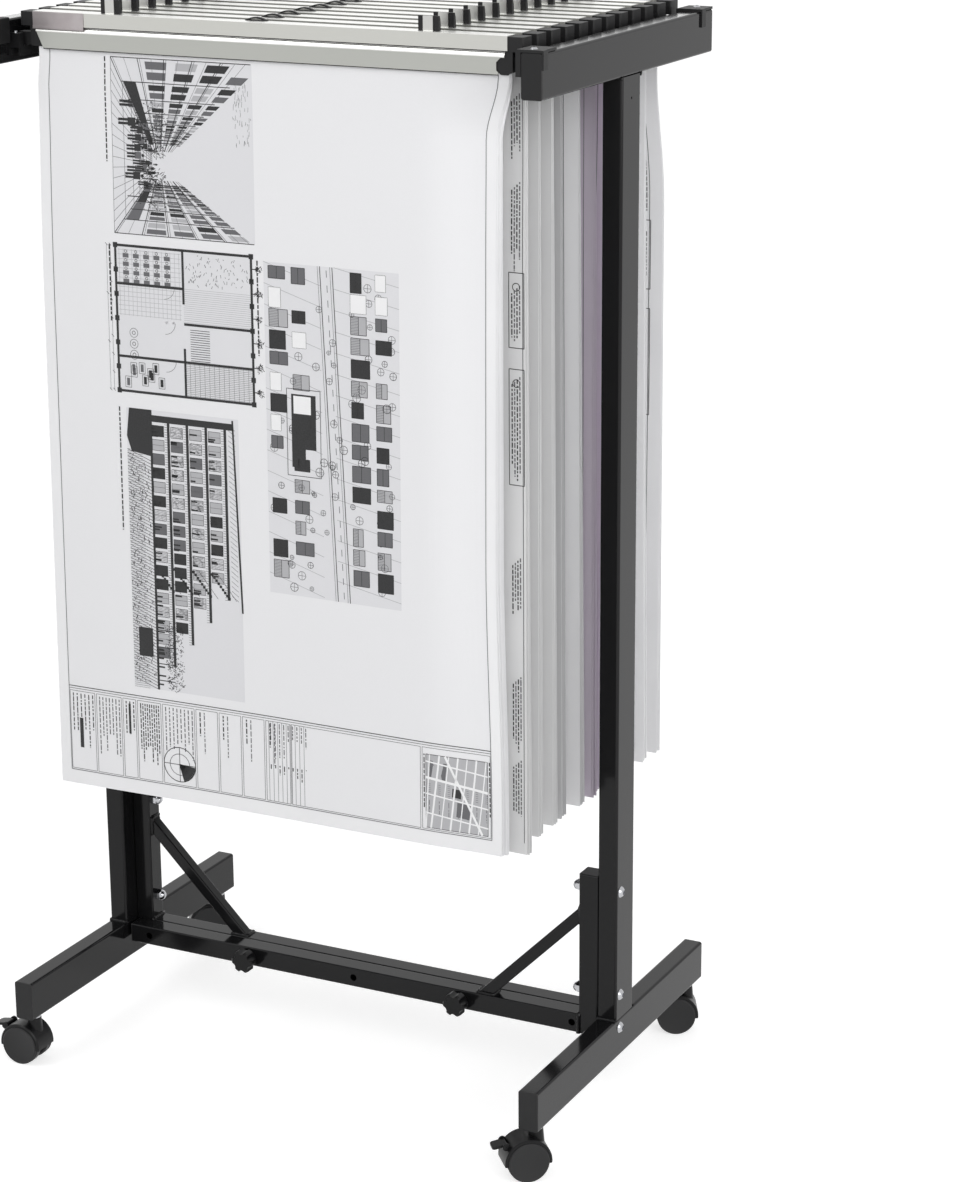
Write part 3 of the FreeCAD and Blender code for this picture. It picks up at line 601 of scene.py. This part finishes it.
def draw_person(art, a, b, tall, chance):
    """A dark figure seen from behind."""
    wide = tall * 0.13
    art.block("black", a - wide, b, a - wide * 0.2, b + tall * 0.5)
    art.block("black", a + wide * 0.2, b, a + wide, b + tall * 0.48)
    art.block(chance.choice(("black", "grey")), a - wide * 1.3, b + tall * 0.45,
              a + wide * 1.3, b + tall * 0.82)
    art.ring("black", a, b + tall * 0.92, tall * 0.05, tall * 0.09, 7)


def hatch(art, name, a0, b0, a1, b1, gap, width=0.5, lean=0.0):
    """Lines across a rectangle, leaning by so much along it."""
    for a in steps(a0, a1 - lean, max(1, round((a1 - a0 - lean) / gap))):
        art.line(name, a, b0, a + lean, b1, width)


def street_view(art, a0, b0, a1, b1, chance):
    """A shopping street in one-point perspective, with trees and people."""
    va, vb = a0 + (a1 - a0) * 0.6, b0 + (b1 - b0) * 0.34
    art.block("wash", a0, b0, a1, b1)

    def toward(a, b, share):
        return a + (va - a) * share, b + (vb - b) * share

    def ray(name, a, b, share, width):
        art.line(name, a, b, *toward(a, b, share), width)

    def on_wall(a, low, high, near, far):
        places = ((low, near), (low, far), (high, far), (high, near))
        return [toward(a, b, share) for b, share in places]

    for side, roof, walls in ((a0, b1 + 26, 0.86), (a1, b1 + 8, 0.80)):
        depths = [walls * (1 - 0.74 ** i) for i in range(10)]
        for near, far in zip(depths, depths[1:]):
            for low, high in ((0.22, 0.36), (0.42, 0.56), (0.62, 0.76), (0.82, 0.94)):
                bottom, top = b0 + (roof - b0) * low, b0 + (roof - b0) * high
                for f, g in ((0.12, 0.44), (0.56, 0.88)):
                    corners = on_wall(side, bottom, top,
                                      near + (far - near) * f, near + (far - near) * g)
                    if max(c[1] for c in corners) <= b1 and max(c[0] for c in corners) <= a1:
                        art.quad(chance.choice(("black", "grey", "grey", "pale")), corners)
            if near > 0.05:
                art.quad(chance.choice(("black", "grey", "black")),
                         on_wall(side, b0 + 4, b0 + 26, near, far))
            foot, head = toward(side, b0, near), toward(side, min(roof, b1) - 1, near)
            art.line("black", *foot, *head, 0.9)
        for share in (0.0, 0.2, 0.39, 0.59, 0.79):
            ray("black", side, b0 + (b1 - b0) * share, walls, 0.9)
            ray("grey", side, b0 + (b1 - b0) * share + 3, walls, 0.5)
        for share in (0.1, 0.3, 0.49, 0.69, 0.89, 0.96):
            ray("grey", side, b0 + (b1 - b0) * share, walls, 0.4)
    for i in range(17):
        ray("grey", a0 + (a1 - a0) * i / 16, b0, 0.84, 0.5)
    for i in range(9):
        share = 0.9 * (1 - 0.72 ** i)
        art.line("grey", *toward(a0, b0, share), *toward(a1, b0, share), 0.5)
    trees = ((0.15, 0.30, 24), (0.3, 0.86, 20), (0.5, 0.24, 15), (0.62, 0.8, 12), (0.72, 0.3, 9))
    for share, place, size in trees:
        a, b = toward(a0 + (a1 - a0) * place, b0, share)
        draw_tree(art, a, b, size, chance)
    for _ in range(26):
        share = chance.uniform(0.1, 0.88)
        a, b = toward(a0 + (a1 - a0) * chance.uniform(0.1, 0.95), b0 + 2, share)
        draw_person(art, a, b, 30 * (1 - share) + 2, chance)
    for _ in range(60):
        a, b = chance.uniform(a0 + 20, a0 + 90), chance.uniform(b1 - 26, b1 - 3)
        art.line("grey", a, b, a + chance.uniform(2, 7), b + chance.uniform(-1, 1), 0.4)


def floor_plan(art, a0, b0, a1, b1, chance):
    """Rooms with thick walls, door swings, tiles, stairs and furniture."""
    wall = 3.0
    middle = b0 + (b1 - b0) * 0.5
    splits = [a0 + (a1 - a0) * f for f in (0.26, 0.5, 0.76)]
    art.block("wash", a0, b0, a1, b1)
    hatch(art, "grey", splits[2], middle, a1, b1, 2.2, 0.4)
    for b in steps(middle, b1, 14):
        art.line("grey", splits[2], b, a1, b, 0.4)
    hatch(art, "pale", splits[0], middle, splits[1], b1, 2.4, 0.5)
    for _ in range(90):
        ta, tb = chance.uniform(a0 + 4, splits[0] - 6), chance.uniform(middle + 5, b1 - 5)
        art.line("grey", ta, tb, ta + chance.uniform(1, 4), tb + chance.uniform(-2, 2), 0.6)
    for a in steps(a0 + 5, splits[1] - 5, 14):
        art.line("pale", a, b0 + 3, a, middle - 3, 0.5)
    for b in steps(b0 + 5, middle - 5, 14):
        art.line("pale", a0 + 4, b, splits[1] - 4, b, 0.5)
    art.frame("black", a0, b0, a1, b1, wall)
    art.line("black", a0, middle, splits[0] + 18, middle, wall)
    art.line("black", splits[2] - 16, middle, a1, middle, wall)
    for i, a in enumerate(splits):
        art.line("black", a, b0 if i != 1 else middle, a, b1 if i else middle, wall)
        art.line("wash", a, middle - 26, a, middle - 12, wall + 0.4)
        for turn in range(6):
            f, g = turn * 0.26, (turn + 1) * 0.26
            art.line("grey", a + 14 * math.sin(f), middle - 26 + 14 * math.cos(f),
                     a + 14 * math.sin(g), middle - 26 + 14 * math.cos(g), 0.5)
    hatch(art, "black", splits[1] + 6, middle + 8, splits[1] + 42, middle + 34, 2.8, 0.7)
    for a in steps(a0, a1, 6):
        for b in (b0, b1):
            art.block("black", a - 3, b - 3, a + 3, b + 3)
    for i in range(4):
        for j in range(5):
            ta, tb = a0 + 9 + 10 * i, b0 + 10 + 14 * j
            art.block("grey", ta, tb, ta + 5, tb + 8)
            art.ring("black", ta - 2.4, tb + 4, 1.7, 0.6, 7)
    for _ in range(9):
        ta, tb = chance.uniform(splits[2] + 5, a1 - 14), chance.uniform(b0 + 6, middle - 14)
        art.block(chance.choice(("grey", "black")), ta, tb, ta + 9, tb + 4)
        art.frame("black", ta - 2, tb - 2, ta + 11, tb + 6, 0.5)
    for i in range(3):
        art.ring("grey", splits[1] + 16 + 13 * i, b0 + 22, 5.5, 0.6, 12)
        art.ring("black", splits[1] + 16 + 13 * i, b0 + 22, 2.2, 0.6, 8)
    for shift in (7, 12):
        art.line("grey", a0, b0 - shift, a1, b0 - shift, 0.4)
        for a in steps(a0, a1, 3 if shift > 10 else 8):
            art.line("black", a - 1.5, b0 - shift - 1.5, a + 1.5, b0 - shift + 1.5, 0.6)
    for i in range(6):
        draw_tree(art, a0 + (a1 - a0) * (i + 0.5) / 6, b1 + 1, 4.5, chance)


def section(art, a0, b0, a1, b1, chance):
    """A cut through floors, stairs and the dark ground below."""
    ground = b0 + (b1 - b0) * 0.22
    art.block("wash", a0, b0, a1, b1)
    art.quad("black", [(a0, b0 + 4), (a0 + 34, b0), (a0 + 30, ground), (a0, ground)])
    art.quad("black", [(a0 + 34, b0), (a0 + 52, b0 + 6), (a0 + 56, ground), (a0 + 30, ground)])
    hatch(art, "black", a0 + 50, b0, a1, ground, 4, 0.6, lean=12)
    hatch(art, "grey", a0 + 50, b0, a1, ground - 12, 2.5, 0.4, lean=0.1)
    for _ in range(260):
        pa, pb = chance.uniform(a0 + 54, a1 - 8), chance.uniform(b0 + 2, ground - 4)
        art.line(chance.choice(("black", "grey")), pa, pb,
                 pa + chance.uniform(1, 5), pb + chance.uniform(-2, 2), 0.8)
    art.block("black", a1 - 76, b0 + 8, a1 - 40, ground - 6)
    art.line("black", a0, ground, a1, ground, 3.0)
    storeys = 4
    rise = (b1 - ground) * 0.86 / storeys
    stairs = a0 + (a1 - a0) * 0.55
    for i in range(1, storeys + 1):
        end = a1 - (a1 - a0) * 0.09 * i
        low = ground + rise * (i - 1)
        art.block("black", a0 + 14, low + rise - 3.5, end, low + rise)
        hatch(art, "grey", a0 + 16, low + rise - 7, end, low + rise - 3.5, 3, 0.5)
        for j in range(int((end - a0 - 20) / 17)):
            pa = a0 + 18 + 17 * j
            room = chance.choice(("pale", "pale", "wash", "wash", "grey", "black"))
            art.block(room, pa, low + 1.5, pa + 13, low + rise - 8)
            if room == "wash":
                hatch(art, "grey", pa, low + 1.5, pa + 13, low + rise - 8, 1.8, 0.4, lean=2)
            art.frame("black", pa, low + 1.5, pa + 13, low + rise - 8, 0.5)
            art.line("grey", pa + 6.5, low + 1.5, pa + 6.5, low + rise - 8, 0.5)
            for _ in range(chance.randrange(4)):
                pb = pa + chance.uniform(0, 12)
                art.block("black", pb, low + 1, pb + 2, low + chance.uniform(8, 12))
        for j in range(9):
            sa = stairs + 3.4 * j
            art.block("black", sa, low + rise / 9 * j, sa + 3.4, low + rise / 9 * j + 3.4)
        art.line("black", stairs, low + 9, stairs + 31, low + rise + 9, 0.5)
    art.block("black", a0 + 6, ground, a0 + 14, b1 - 8)
    art.line("black", a0 + 2, b1 - 8, a1 - (a1 - a0) * 0.32, b1, 2.4)
    hatch(art, "grey", a0 + 8, b1 - 14, a1 - (a1 - a0) * 0.36, b1 - 5, 6, 0.5, lean=6)
    for i in range(4):
        draw_tree(art, a1 - 12 - 21 * i, ground, 13, chance)
    for i in range(11):
        a = a1 - 6 - 11 * i
        art.block("black", a - 2, ground + 1, a, ground + chance.uniform(7, 11))


def site_plan(art, a0, b0, a1, b1, chance):
    """Plots, roads and tree circles round a dark new building."""
    art.block("wash", a0, b0, a1, b1)
    road = b0 + (b1 - b0) * 0.42
    for i in range(16):
        a = a0 + (a1 - a0) * i / 16
        art.line("pale", a, b0, min(a + 22, a1), road, 0.7)
        art.line("pale", a, road + 18, min(a + 16, a1), b1, 0.7)
    for shift in (0, 16):
        art.line("black", a0, road + shift, a1, road + shift + 18, 0.9)
        art.line("grey", a0, road + shift - 3, a1, road + shift + 15, 0.5)
    for a in steps(a0 + 8, a1 - 8, 22):
        b = road + 8 + 18 * (a - a0) / (a1 - a0)
        art.line("grey", a - 4, b, a + 4, b + 0.4, 0.8)
    for i in range(15):
        for b in (b0 + 6, b0 + 36, b1 - 62, b1 - 30):
            if chance.random() < 0.12:
                continue
            pa = a0 + 4 + (a1 - a0 - 20) / 15 * i
            end = min(pa + chance.uniform(14, 23), a1 - 2)
            deep = chance.uniform(13, 25)
            shade = chance.choice(("pale", "grey", "pale", "white", "black"))
            art.block(shade, pa, b, end, b + deep)
            art.frame("black", pa, b, end, b + deep, 0.7)
            art.line("black", pa, b + deep / 2, end, b + deep / 2, 0.6)
            if shade in ("pale", "white"):
                hatch(art, "grey", pa, b, end, b + deep / 2, 1.8, 0.5)
    art.block("black", a0 + 150, road - 40, a0 + 214, road - 8)
    art.block("black", a0 + 214, road - 40, a0 + 236, road - 22)
    art.frame("black", a0 + 144, road - 46, a0 + 246, road - 2, 0.7)
    for _ in range(70):
        ta, tb = chance.uniform(a0 + 8, a1 - 8), chance.uniform(b0 + 8, b1 - 8)
        radius = chance.uniform(2.5, 5.5)
        art.ring(chance.choice(("grey", "black")), ta, tb, radius, 0.6, 9)
        art.line("grey", ta - radius, tb, ta + radius, tb, 0.5)
        art.line("grey", ta, tb - radius, ta, tb + radius, 0.5)


def compass(art, a, b, radius):
    """A plain north sign: two circles, a cross and a dark half."""
    art.ring("black", a, b, radius, 1.0, 22)
    art.ring("grey", a, b, radius * 0.62, 0.8, 18)
    art.line("black", a - radius, b, a + radius, b, 0.8)
    art.line("black", a, b - radius, a, b + radius, 0.8)
    for i in range(14):
        turn = 0.3 + i * 0.09
        art.line("black", a, b, a + radius * math.cos(turn), b + radius * math.sin(turn), 1.8)


def key_plan(art, a0, b0, a1, b1):
    """A small town map: grey blocks between white streets, and one dark plot."""
    deep, wide = b1 - b0, a1 - a0
    art.block("pale", a0, b0, a1, b1)
    art.quad("grey", [(a0 + wide * 0.08, b0 + 6), (a0 + wide * 0.3, b0 + 3),
                      (a0 + wide * 0.34, b0 + deep * 0.3), (a0 + wide * 0.1, b0 + deep * 0.33)])
    for name, plot in (("grey", ((0.6, 0.5), (0.8, 0.48), (0.82, 0.7), (0.62, 0.72))),
                       ("black", ((0.42, 0.42), (0.54, 0.41), (0.55, 0.56), (0.43, 0.57)))):
        art.quad(name, [(a0 + wide * f, b0 + deep * g) for f, g in plot])
    for i in range(7):
        b = b0 + deep * i / 6.5
        art.line("white", a0, min(b + 5, b1), a1, max(b - 7, b0), 2.6 if i % 2 else 1.6)
    for i, share in enumerate((0.14, 0.36, 0.58, 0.84)):
        a = a0 + wide * share
        art.line("white", a - 4, b0, a + 5, b1, 3.0 if i == 1 else 1.8)
    art.line("white", a0, b0 + deep * 0.3, a1, b1 - 8, 3.2)
    for i in range(7):
        b = b0 + deep * i / 6.5 + 3
        hatch(art, "grey", a0 + wide * 0.4, b, a0 + wide * 0.56, b + 3.5, 2.4, 0.5)
        art.note("grey", a0 + wide * 0.62, b + 1, wide * 0.2, random.Random(i), 0.9)
    art.frame("black", a0, b0, a1, b1, 0.7)


def title_strip(art, a0, a1, b0, b1, chance):
    """Fields along the drawing's right edge."""
    art.line("black", a0, b0, a0, b1, 1.0)
    art.line("grey", a0 + 3, b0, a0 + 3, b1, 0.7)
    ends = [b0 + (b1 - b0) * f
            for f in (0.0, 0.065, 0.13, 0.165, 0.225, 0.305, 0.36, 0.415, 0.47, 0.53, 0.83, 1.0)]
    for start, end in zip(ends, ends[1:]):
        art.frame("grey", a0 + 6, start + 1.2, a1 - 2, end - 1.2, 0.6)
    fields = ((5, "black", 68), (6, "grey", 74), (2, "black", 44), (8, "black", 80),
              (7, "grey", 70))
    for i, (count, ink_name, length) in enumerate(fields):
        for b in steps(ends[i] + 5, ends[i + 1] - 5, count):
            art.note(ink_name, a0 + 9, b, length * chance.uniform(0.6, 1.0), chance, 1.4)
    art.block("black", a0 + 40, ends[0] + 14, a0 + 78, ends[0] + 19)
    art.block("black", a0 + 12, ends[2] + 9, a0 + 50, ends[2] + 12)
    for i in (5, 6, 7, 8):
        art.note("black", a0 + 9, ends[i] + 6, 30, chance, 1.6)
        art.note("grey", a0 + 9, ends[i] + 12, 52, chance, 1.3)
    compass(art, a1 - 28, (ends[4] + ends[5]) / 2, 22)
    for i in range(9):
        b = ends[8] + 5 + 6 * i
        art.line("grey", a0 + 6, b, a1 - 2, b, 0.5)
        art.note("grey", a0 + 8, b + 2, 16 + 30 * chance.random(), chance, 1.3)
        art.note("black", a0 + 60, b + 2, 20 * chance.random(), chance, 1.3)
    key_plan(art, a0 + 14, ends[10] + 6, a1 - 4, ends[11] - 5)
    for b in (ends[10] + 3, ends[11] - 3):
        art.note("black", a0 + 14, b, 66, chance, 1.4)


# %% Print the front sheet
chance = random.Random(7)
art = Print(1, 0)
frame_top, frame_left, frame_bottom = 12, 15, 896
frame_right = sheet_width - 13
title_top = 788
art.cover("tint", frame_top, frame_left, frame_bottom, frame_right)
art.frame("grey", frame_top, frame_left, frame_bottom, frame_right, 0.9)
street_view(art, 24, 102, 226, 290, chance)
floor_plan(art, 240, 102, 412, 284, chance)
section(art, 432, 110, 776, 262, chance)
site_plan(art, 244, 300, 634, 474, chance)
title_strip(art, title_top, frame_bottom, frame_left, frame_right, chance)
for a, b, length in ((24, 93, 120), (240, 93, 90), (432, 100, 150), (244, 291, 110)):
    art.note("black", a, b, length, chance, 1.8)
front_print = art.make("clamp_01", "front_print")
print("ink strips:", sum(len(q) for q in art.quads.values()))

# %% [markdown]
# ## Borders of the other sheets
#
# Only a finger's width of each other bundle shows at the side, so most get a
# border line, two get a few notes and stamps in the margin, and nothing more.

# %% Print the borders
insets = {2: 3.0, 6: 19.0, 12: 17.0}     # from the sheet's right edge, 12 mm on the others
margin_notes = ((40, 64), (136, 96), (250, 60), (352, 120), (560, 60), (700, 90), (800, 70))
stamps = ((236, 84), (344, 132))
for number in range(2, len(clamp_names) + 1):
    edge = Print(number, 0)
    line = sheet_width - insets.get(number, 12.0)
    if number not in (3, 4):
        edge.line("grey", 14, line, 900, line, 0.7)
    if number == 6:
        edge.line("black", 14, line - 3, 800, line - 4, 0.9)
    if number in (2, 12):
        chance = random.Random(number)
        edge.line("black", 14, line, 900, line, 0.7)
        for a, length in margin_notes:
            for i in range(4):
                edge.note("black" if i % 2 else "grey", a + 3 * i, line - 4.5 - 3.2 * i,
                          length * chance.uniform(0.7, 1.0), chance, 1.5)
        for a, length in stamps:
            edge.frame("black", a, line - 17, a + length, line + 1.5, 0.9)
            edge.ring("black", a + 16, line - 8, 4.5, 0.9, 12)
    edge.make("clamp_%02d" % number, "border_%02d" % number)
for (number, layer), made in sheets.items():
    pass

# %% [markdown]
# ## Weld beads
#
# The tubes are joined by fillet welds and coated over. The welds on the flat
# sides are ground flush; the ones in the corners stay, and carry a ripple of
# about 5 mm. A bead is a ring of eight points swept along the joint, and its
# radius swells and shrinks with the ripple. Only its outer half stands proud.

# %% Weld beads
bead_radius = 3.0 * mm
bead_ripple = 5 * mm
ripple_points = 2.5        # points of a path on each ripple
ripple_swell = 0.22        # how much the radius swells and shrinks
bead_sides = 8
tube_deep = 50 * mm
half_thin = 12.5 * mm
bar = 25 * mm
brace_leg = 140 * mm
brace_half = 7.5 * mm
brace_wide = 15 * math.sqrt(2) * mm


def band(near, far, count):
    """Faces between two rings of points, given the first point of each."""
    return [(near + i, near + (i + 1) % count, far + (i + 1) % count, far + i)
            for i in range(count)]


def path_points(corners, closed):
    """Points along a path, two and a half to each ripple."""
    ends = corners[1:] + (corners[:1] if closed else [])
    path = []
    for start, end in zip(corners, ends):
        count = max(2, round((end - start).length / bead_ripple * ripple_points))
        path += [start.lerp(end, i / count) for i in range(count)]
    return path if closed else path + [corners[-1]]


def weld(name, body, corners, axis, closed=True):
    """A rippled bead along a flat path whose plane has that axis."""
    path = path_points([Vector(c) for c in corners], closed)
    points = []
    for i, place in enumerate(path):
        before = path[i - 1] if i or closed else path[0]
        after = path[(i + 1) % len(path)] if i + 1 < len(path) or closed else path[-1]
        side = (after - before).normalized().cross(axis)
        swell = bead_radius * (1 + ripple_swell * math.sin(2 * math.pi * i / ripple_points))
        for j in range(bead_sides):
            turn = 2 * math.pi * j / bead_sides
            points.append(place + swell * (math.cos(turn) * side + math.sin(turn) * axis))
    rings = len(path) if closed else len(path) - 1
    faces = []
    for i in range(rings):
        faces += band(i * bead_sides, (i + 1) % len(path) * bead_sides, bead_sides)
    return piece(name, surface(name, points, faces), powder_coat, body)


upright_axis, side_axis = Vector((0, 0, 1)), Vector((1, 0, 0))
welds = []
for side, sign in (("left", -1), ("right", 1)):
    body = side + "_half"
    low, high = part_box(side + "_side_frame")
    x, y = (low.x + high.x) / 2, (low.y + high.y) / 2
    for level, z in (("foot", low.z + tube_deep), ("arm", high.z - tube_deep)):
        for end, edge in (("front", y - bar), ("rear", y + bar)):
            name = "_".join((side, "weld", level, end))
            path = [(x - half_thin, edge, z), (x + half_thin, edge, z)]
            welds.append(weld(name, body, path, upright_axis, closed=False))
    low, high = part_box(side + "_cross_frame")
    x = low.x + bar if sign < 0 else high.x - bar
    top = low.z + bar
    yoke = [(x, low.y, low.z), (x, low.y, top), (x, high.y, top), (x, high.y, low.z)]
    welds.append(weld(side + "_weld_bar", body, yoke, side_axis, closed=False))
    y = (low.y + high.y) / 2
    front, rear = y - brace_half, y + brace_half
    near, far = top + brace_leg - brace_wide, top + brace_leg
    ring = [(x, front, near), (x, rear, near), (x, rear, far), (x, front, far)]
    welds.append(weld(side + "_weld_brace_up", body, ring, side_axis))
    near, far = x - sign * (brace_leg - brace_wide), x - sign * brace_leg
    ring = [(near, front, top), (near, rear, top), (far, rear, top), (far, front, top)]
    welds.append(weld(side + "_weld_brace_low", body, ring, upright_axis))
print("welds:", len(welds))

# %% [markdown]
# ## Wheel covers
#
# Each wheel ends in a flat round cover that hides the axle and the edge of the
# hood. Its raised rim catches a thin line of light. It is a profile turned
# about the axle, and it rolls with its wheel.

# %% Wheel covers
def turned_disc(name, profile, middle, axis, count=48):
    """A closed disc: (radius, height) pairs in millimetres, turned about an axis."""
    level = axis.cross(Vector((0, 0, 1))).normalized()
    upward = axis.cross(level)
    points = [middle + profile[0][1] * mm * axis, middle + profile[-1][1] * mm * axis]
    for radius, rise in profile:
        for i in range(count):
            turn = 2 * math.pi * i / count
            spoke = math.cos(turn) * level + math.sin(turn) * upward
            points.append(middle + radius * mm * spoke + rise * mm * axis)
    first, last = 2, 2 + count * (len(profile) - 1)
    faces = []
    for i in range(count):
        after = (i + 1) % count
        faces += [(0, first + after, first + i), (1, last + i, last + after)]
    for ring in range(first, last, count):
        faces += band(ring, ring + count, count)
    return surface(name, points, faces, crease=25)


# How far each caster is turned about its stem, in degrees.
caster_turns = {"front_left": -179.0, "front_right": -139.5,
                "rear_left": -145.0, "rear_right": -152.7}
hood_face = 18.0           # outer face of the hood from the middle of the wheels
cover_profile = [(24.6, 0.15), (24.6, 0.6), (23.7, 1.4), (22.8, 1.5), (22.0, 1.2)]
covers = []
for corner, turn in caster_turns.items():
    low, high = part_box("caster_wheels_" + corner)
    axle = Vector((-math.sin(math.radians(turn)), math.cos(math.radians(turn)), 0))
    for side, axis in (("a", axle), ("b", -axle)):
        name = "wheel_cover_" + corner + "_" + side
        face = (low + high) / 2 + hood_face * mm * axis
        covers.append(piece(name, turned_disc(name, cover_profile, face, axis),
                            wheel_rubber, "wheels_" + corner))
print("wheel covers:", len(covers))

# %% [markdown]
# ## Label sleeve
#
# A clear vinyl sleeve for a paper label is pressed over the left end of the
# front clamp, from its top edge down over the bead's shoulder. It is empty.
# Its rolled edges catch the light, so it is a thin plate whose rim is turned
# over, and not a flat card.

# %% Label sleeve
vinyl, tree, shader = finish_of("vinyl_clear_matt", {"IOR": 1.53, "Transmission Weight": 0.2})
haze = noise(tree, 9, 3.0)
vary_colour(shader, haze, linear("#b9b2b2"), linear("#aea5a7"))
vary_gloss(shader, haze, 0.25, 0.45)

sleeve_length = 69 * mm
sleeve_left, sleeve_right = rail_low.x, rail_low.x + sleeve_length
# Depth behind the clamp's front and height over the channel's base, in millimetres.
sleeve_profile = [(0.2, -3.0), (-0.5, -2.8), (-0.6, -2.2), (-0.5, 0.2), (0.1, 1.4), (0.1, 15.8),
                  (0.5, 16.6), (1.4, 16.9)]
points = [(x, rail_low.y + depth * mm, channel_base + rise * mm)
          for x in (sleeve_left, sleeve_right) for depth, rise in sleeve_profile]
count = len(sleeve_profile)
faces = [(i, i + 1, count + i + 1, count + i) for i in range(count - 1)]
sleeve = piece("label_sleeve", surface("label_sleeve", points, faces), vinyl, "clamp_01")
shell = sleeve.modifiers.new("wall", "SOLIDIFY")
shell.thickness = 0.5 * mm
shell.offset = 1.0
print("sleeve:", round(sleeve_length / mm), "mm long")

# %% [markdown]
# ## Floor, light and camera
#
# The rack stands on a white sweep in a pale room. Camera, mirror and glass rays
# see the room at full white and some extra glow from the floor, so that the
# background reads as white while the rack's shadow stays; the light that falls
# on the rack is softer. Soft boxes give it a direction: a key from the front
# right, a fill that reaches in between the bundles from the right, one high on
# the left that the clamps' beads mirror, and a long low band far behind, which
# their tops mirror as a bright line.

# %% Floor
def seen_directly(tree, base, extra):
    """A strength: base, and extra for camera, mirror and glass rays."""
    rays = add(tree, "LightPath")
    mirror = add(tree, "Math", {"operation": "MAXIMUM"},
                 {0: rays.outputs["Is Camera Ray"], 1: rays.outputs["Is Glossy Ray"]})
    seen = add(tree, "Math", {"operation": "MAXIMUM"},
               {0: mirror.outputs["Value"], 1: rays.outputs["Is Transmission Ray"]})
    glow = add(tree, "Math", {"operation": "MULTIPLY_ADD", 1: extra, 2: base},
               {0: seen.outputs["Value"]})
    return glow.outputs["Value"]


floor_reach = 14.0         # from its middle to its edges
floor_glow = 0.64
edges = steps(-floor_reach, floor_reach, 2)
floor_mesh = grid_mesh("floor", edges, edges, lambda a, d: Vector((a, d, 0)))
floor_white, tree, shader = finish_of("floor_white_sweep", {
    "Base Color": linear("#cecece"), "Roughness": 0.9})
out = next(n for n in tree.nodes if n.type == "OUTPUT_MATERIAL")
light = add(tree, "Emission", {"Color": linear("#ffffff")},
            {"Strength": seen_directly(tree, 0.0, floor_glow)})
both = add(tree, "AddShader",
           links={0: shader.outputs["BSDF"], 1: light.outputs["Emission"]})
tree.links.new(both.outputs["Shader"], out.inputs["Surface"])
floor_mesh.materials.append(floor_white)
new_object("floor", floor_mesh)
print("floor:", 2 * floor_reach, "m wide")

# %% World and lamps
room_light, room_glow = 0.6, 0.4
world = bpy.data.worlds.new("pale_room")
bpy.context.scene.world = world
world.use_nodes = True
world.node_tree.nodes.clear()
room = add(world.node_tree, "Background", {"Color": linear("#ffffff")},
           {"Strength": seen_directly(world.node_tree, room_light, room_glow)})
add(world.node_tree, "OutputWorld", links={"Surface": room.outputs["Background"]})


def soft_box(name, place, aim, width, height, brightness):
    """A lamp of that size that looks at a point; its face is that bright."""
    data = bpy.data.lights.new(name, "AREA")
    data.shape = "RECTANGLE"
    data.size, data.size_y = width, height
    data.energy = brightness * math.pi * width * height
    lamp = new_object(name, data)
    lamp.location = place
    lamp.rotation_euler = (Vector(aim) - Vector(place)).to_track_quat("-Z", "Y").to_euler()
    return lamp


rack_middle = (0, 0, 0.75)
lamps = [
    soft_box("key_front_right", (2.7, -3.4, 2.6), rack_middle, 2.4, 2.4, 2.6),
    soft_box("fill_right", (3.8, -1.5, 1.6), rack_middle, 2.0, 2.0, 3.6),
    soft_box("high_front_left", (-1.7, -2.3, 4.0), rack_middle, 1.8, 1.8, 3.0),
    soft_box("band_behind", (-3.0, 5.6, 1.6), (0, 0, 1.3), 5.0, 0.8, 1.0),
]
print("lamps:", len(lamps))

# %% Camera
camera_place = Vector((1.7782, -3.1499, 1.7036))
yaw, pitch, roll = (math.radians(v) for v in (26.664, 16.892, -0.344))
ahead = Vector((-math.sin(yaw) * math.cos(pitch), math.cos(yaw) * math.cos(pitch),
                -math.sin(pitch)))
level = Vector((math.cos(yaw), math.sin(yaw), 0))
upward = level.cross(ahead)
right_axis = math.cos(roll) * level + math.sin(roll) * upward
up_axis = -math.sin(roll) * level + math.cos(roll) * upward
lens = bpy.data.cameras.new("camera")
lens.lens = 93.857
lens.sensor_width = 36.0
lens.clip_end = 100.0
camera = new_object("camera", lens)
turned = Matrix((right_axis, up_axis, -ahead)).transposed().to_4x4()
camera.matrix_world = Matrix.Translation(camera_place) @ turned
bpy.context.scene.camera = camera
bpy.context.scene.view_settings.view_transform = "Standard"
print("camera:", [round(v, 3) for v in camera_place])

# %% The end
import json
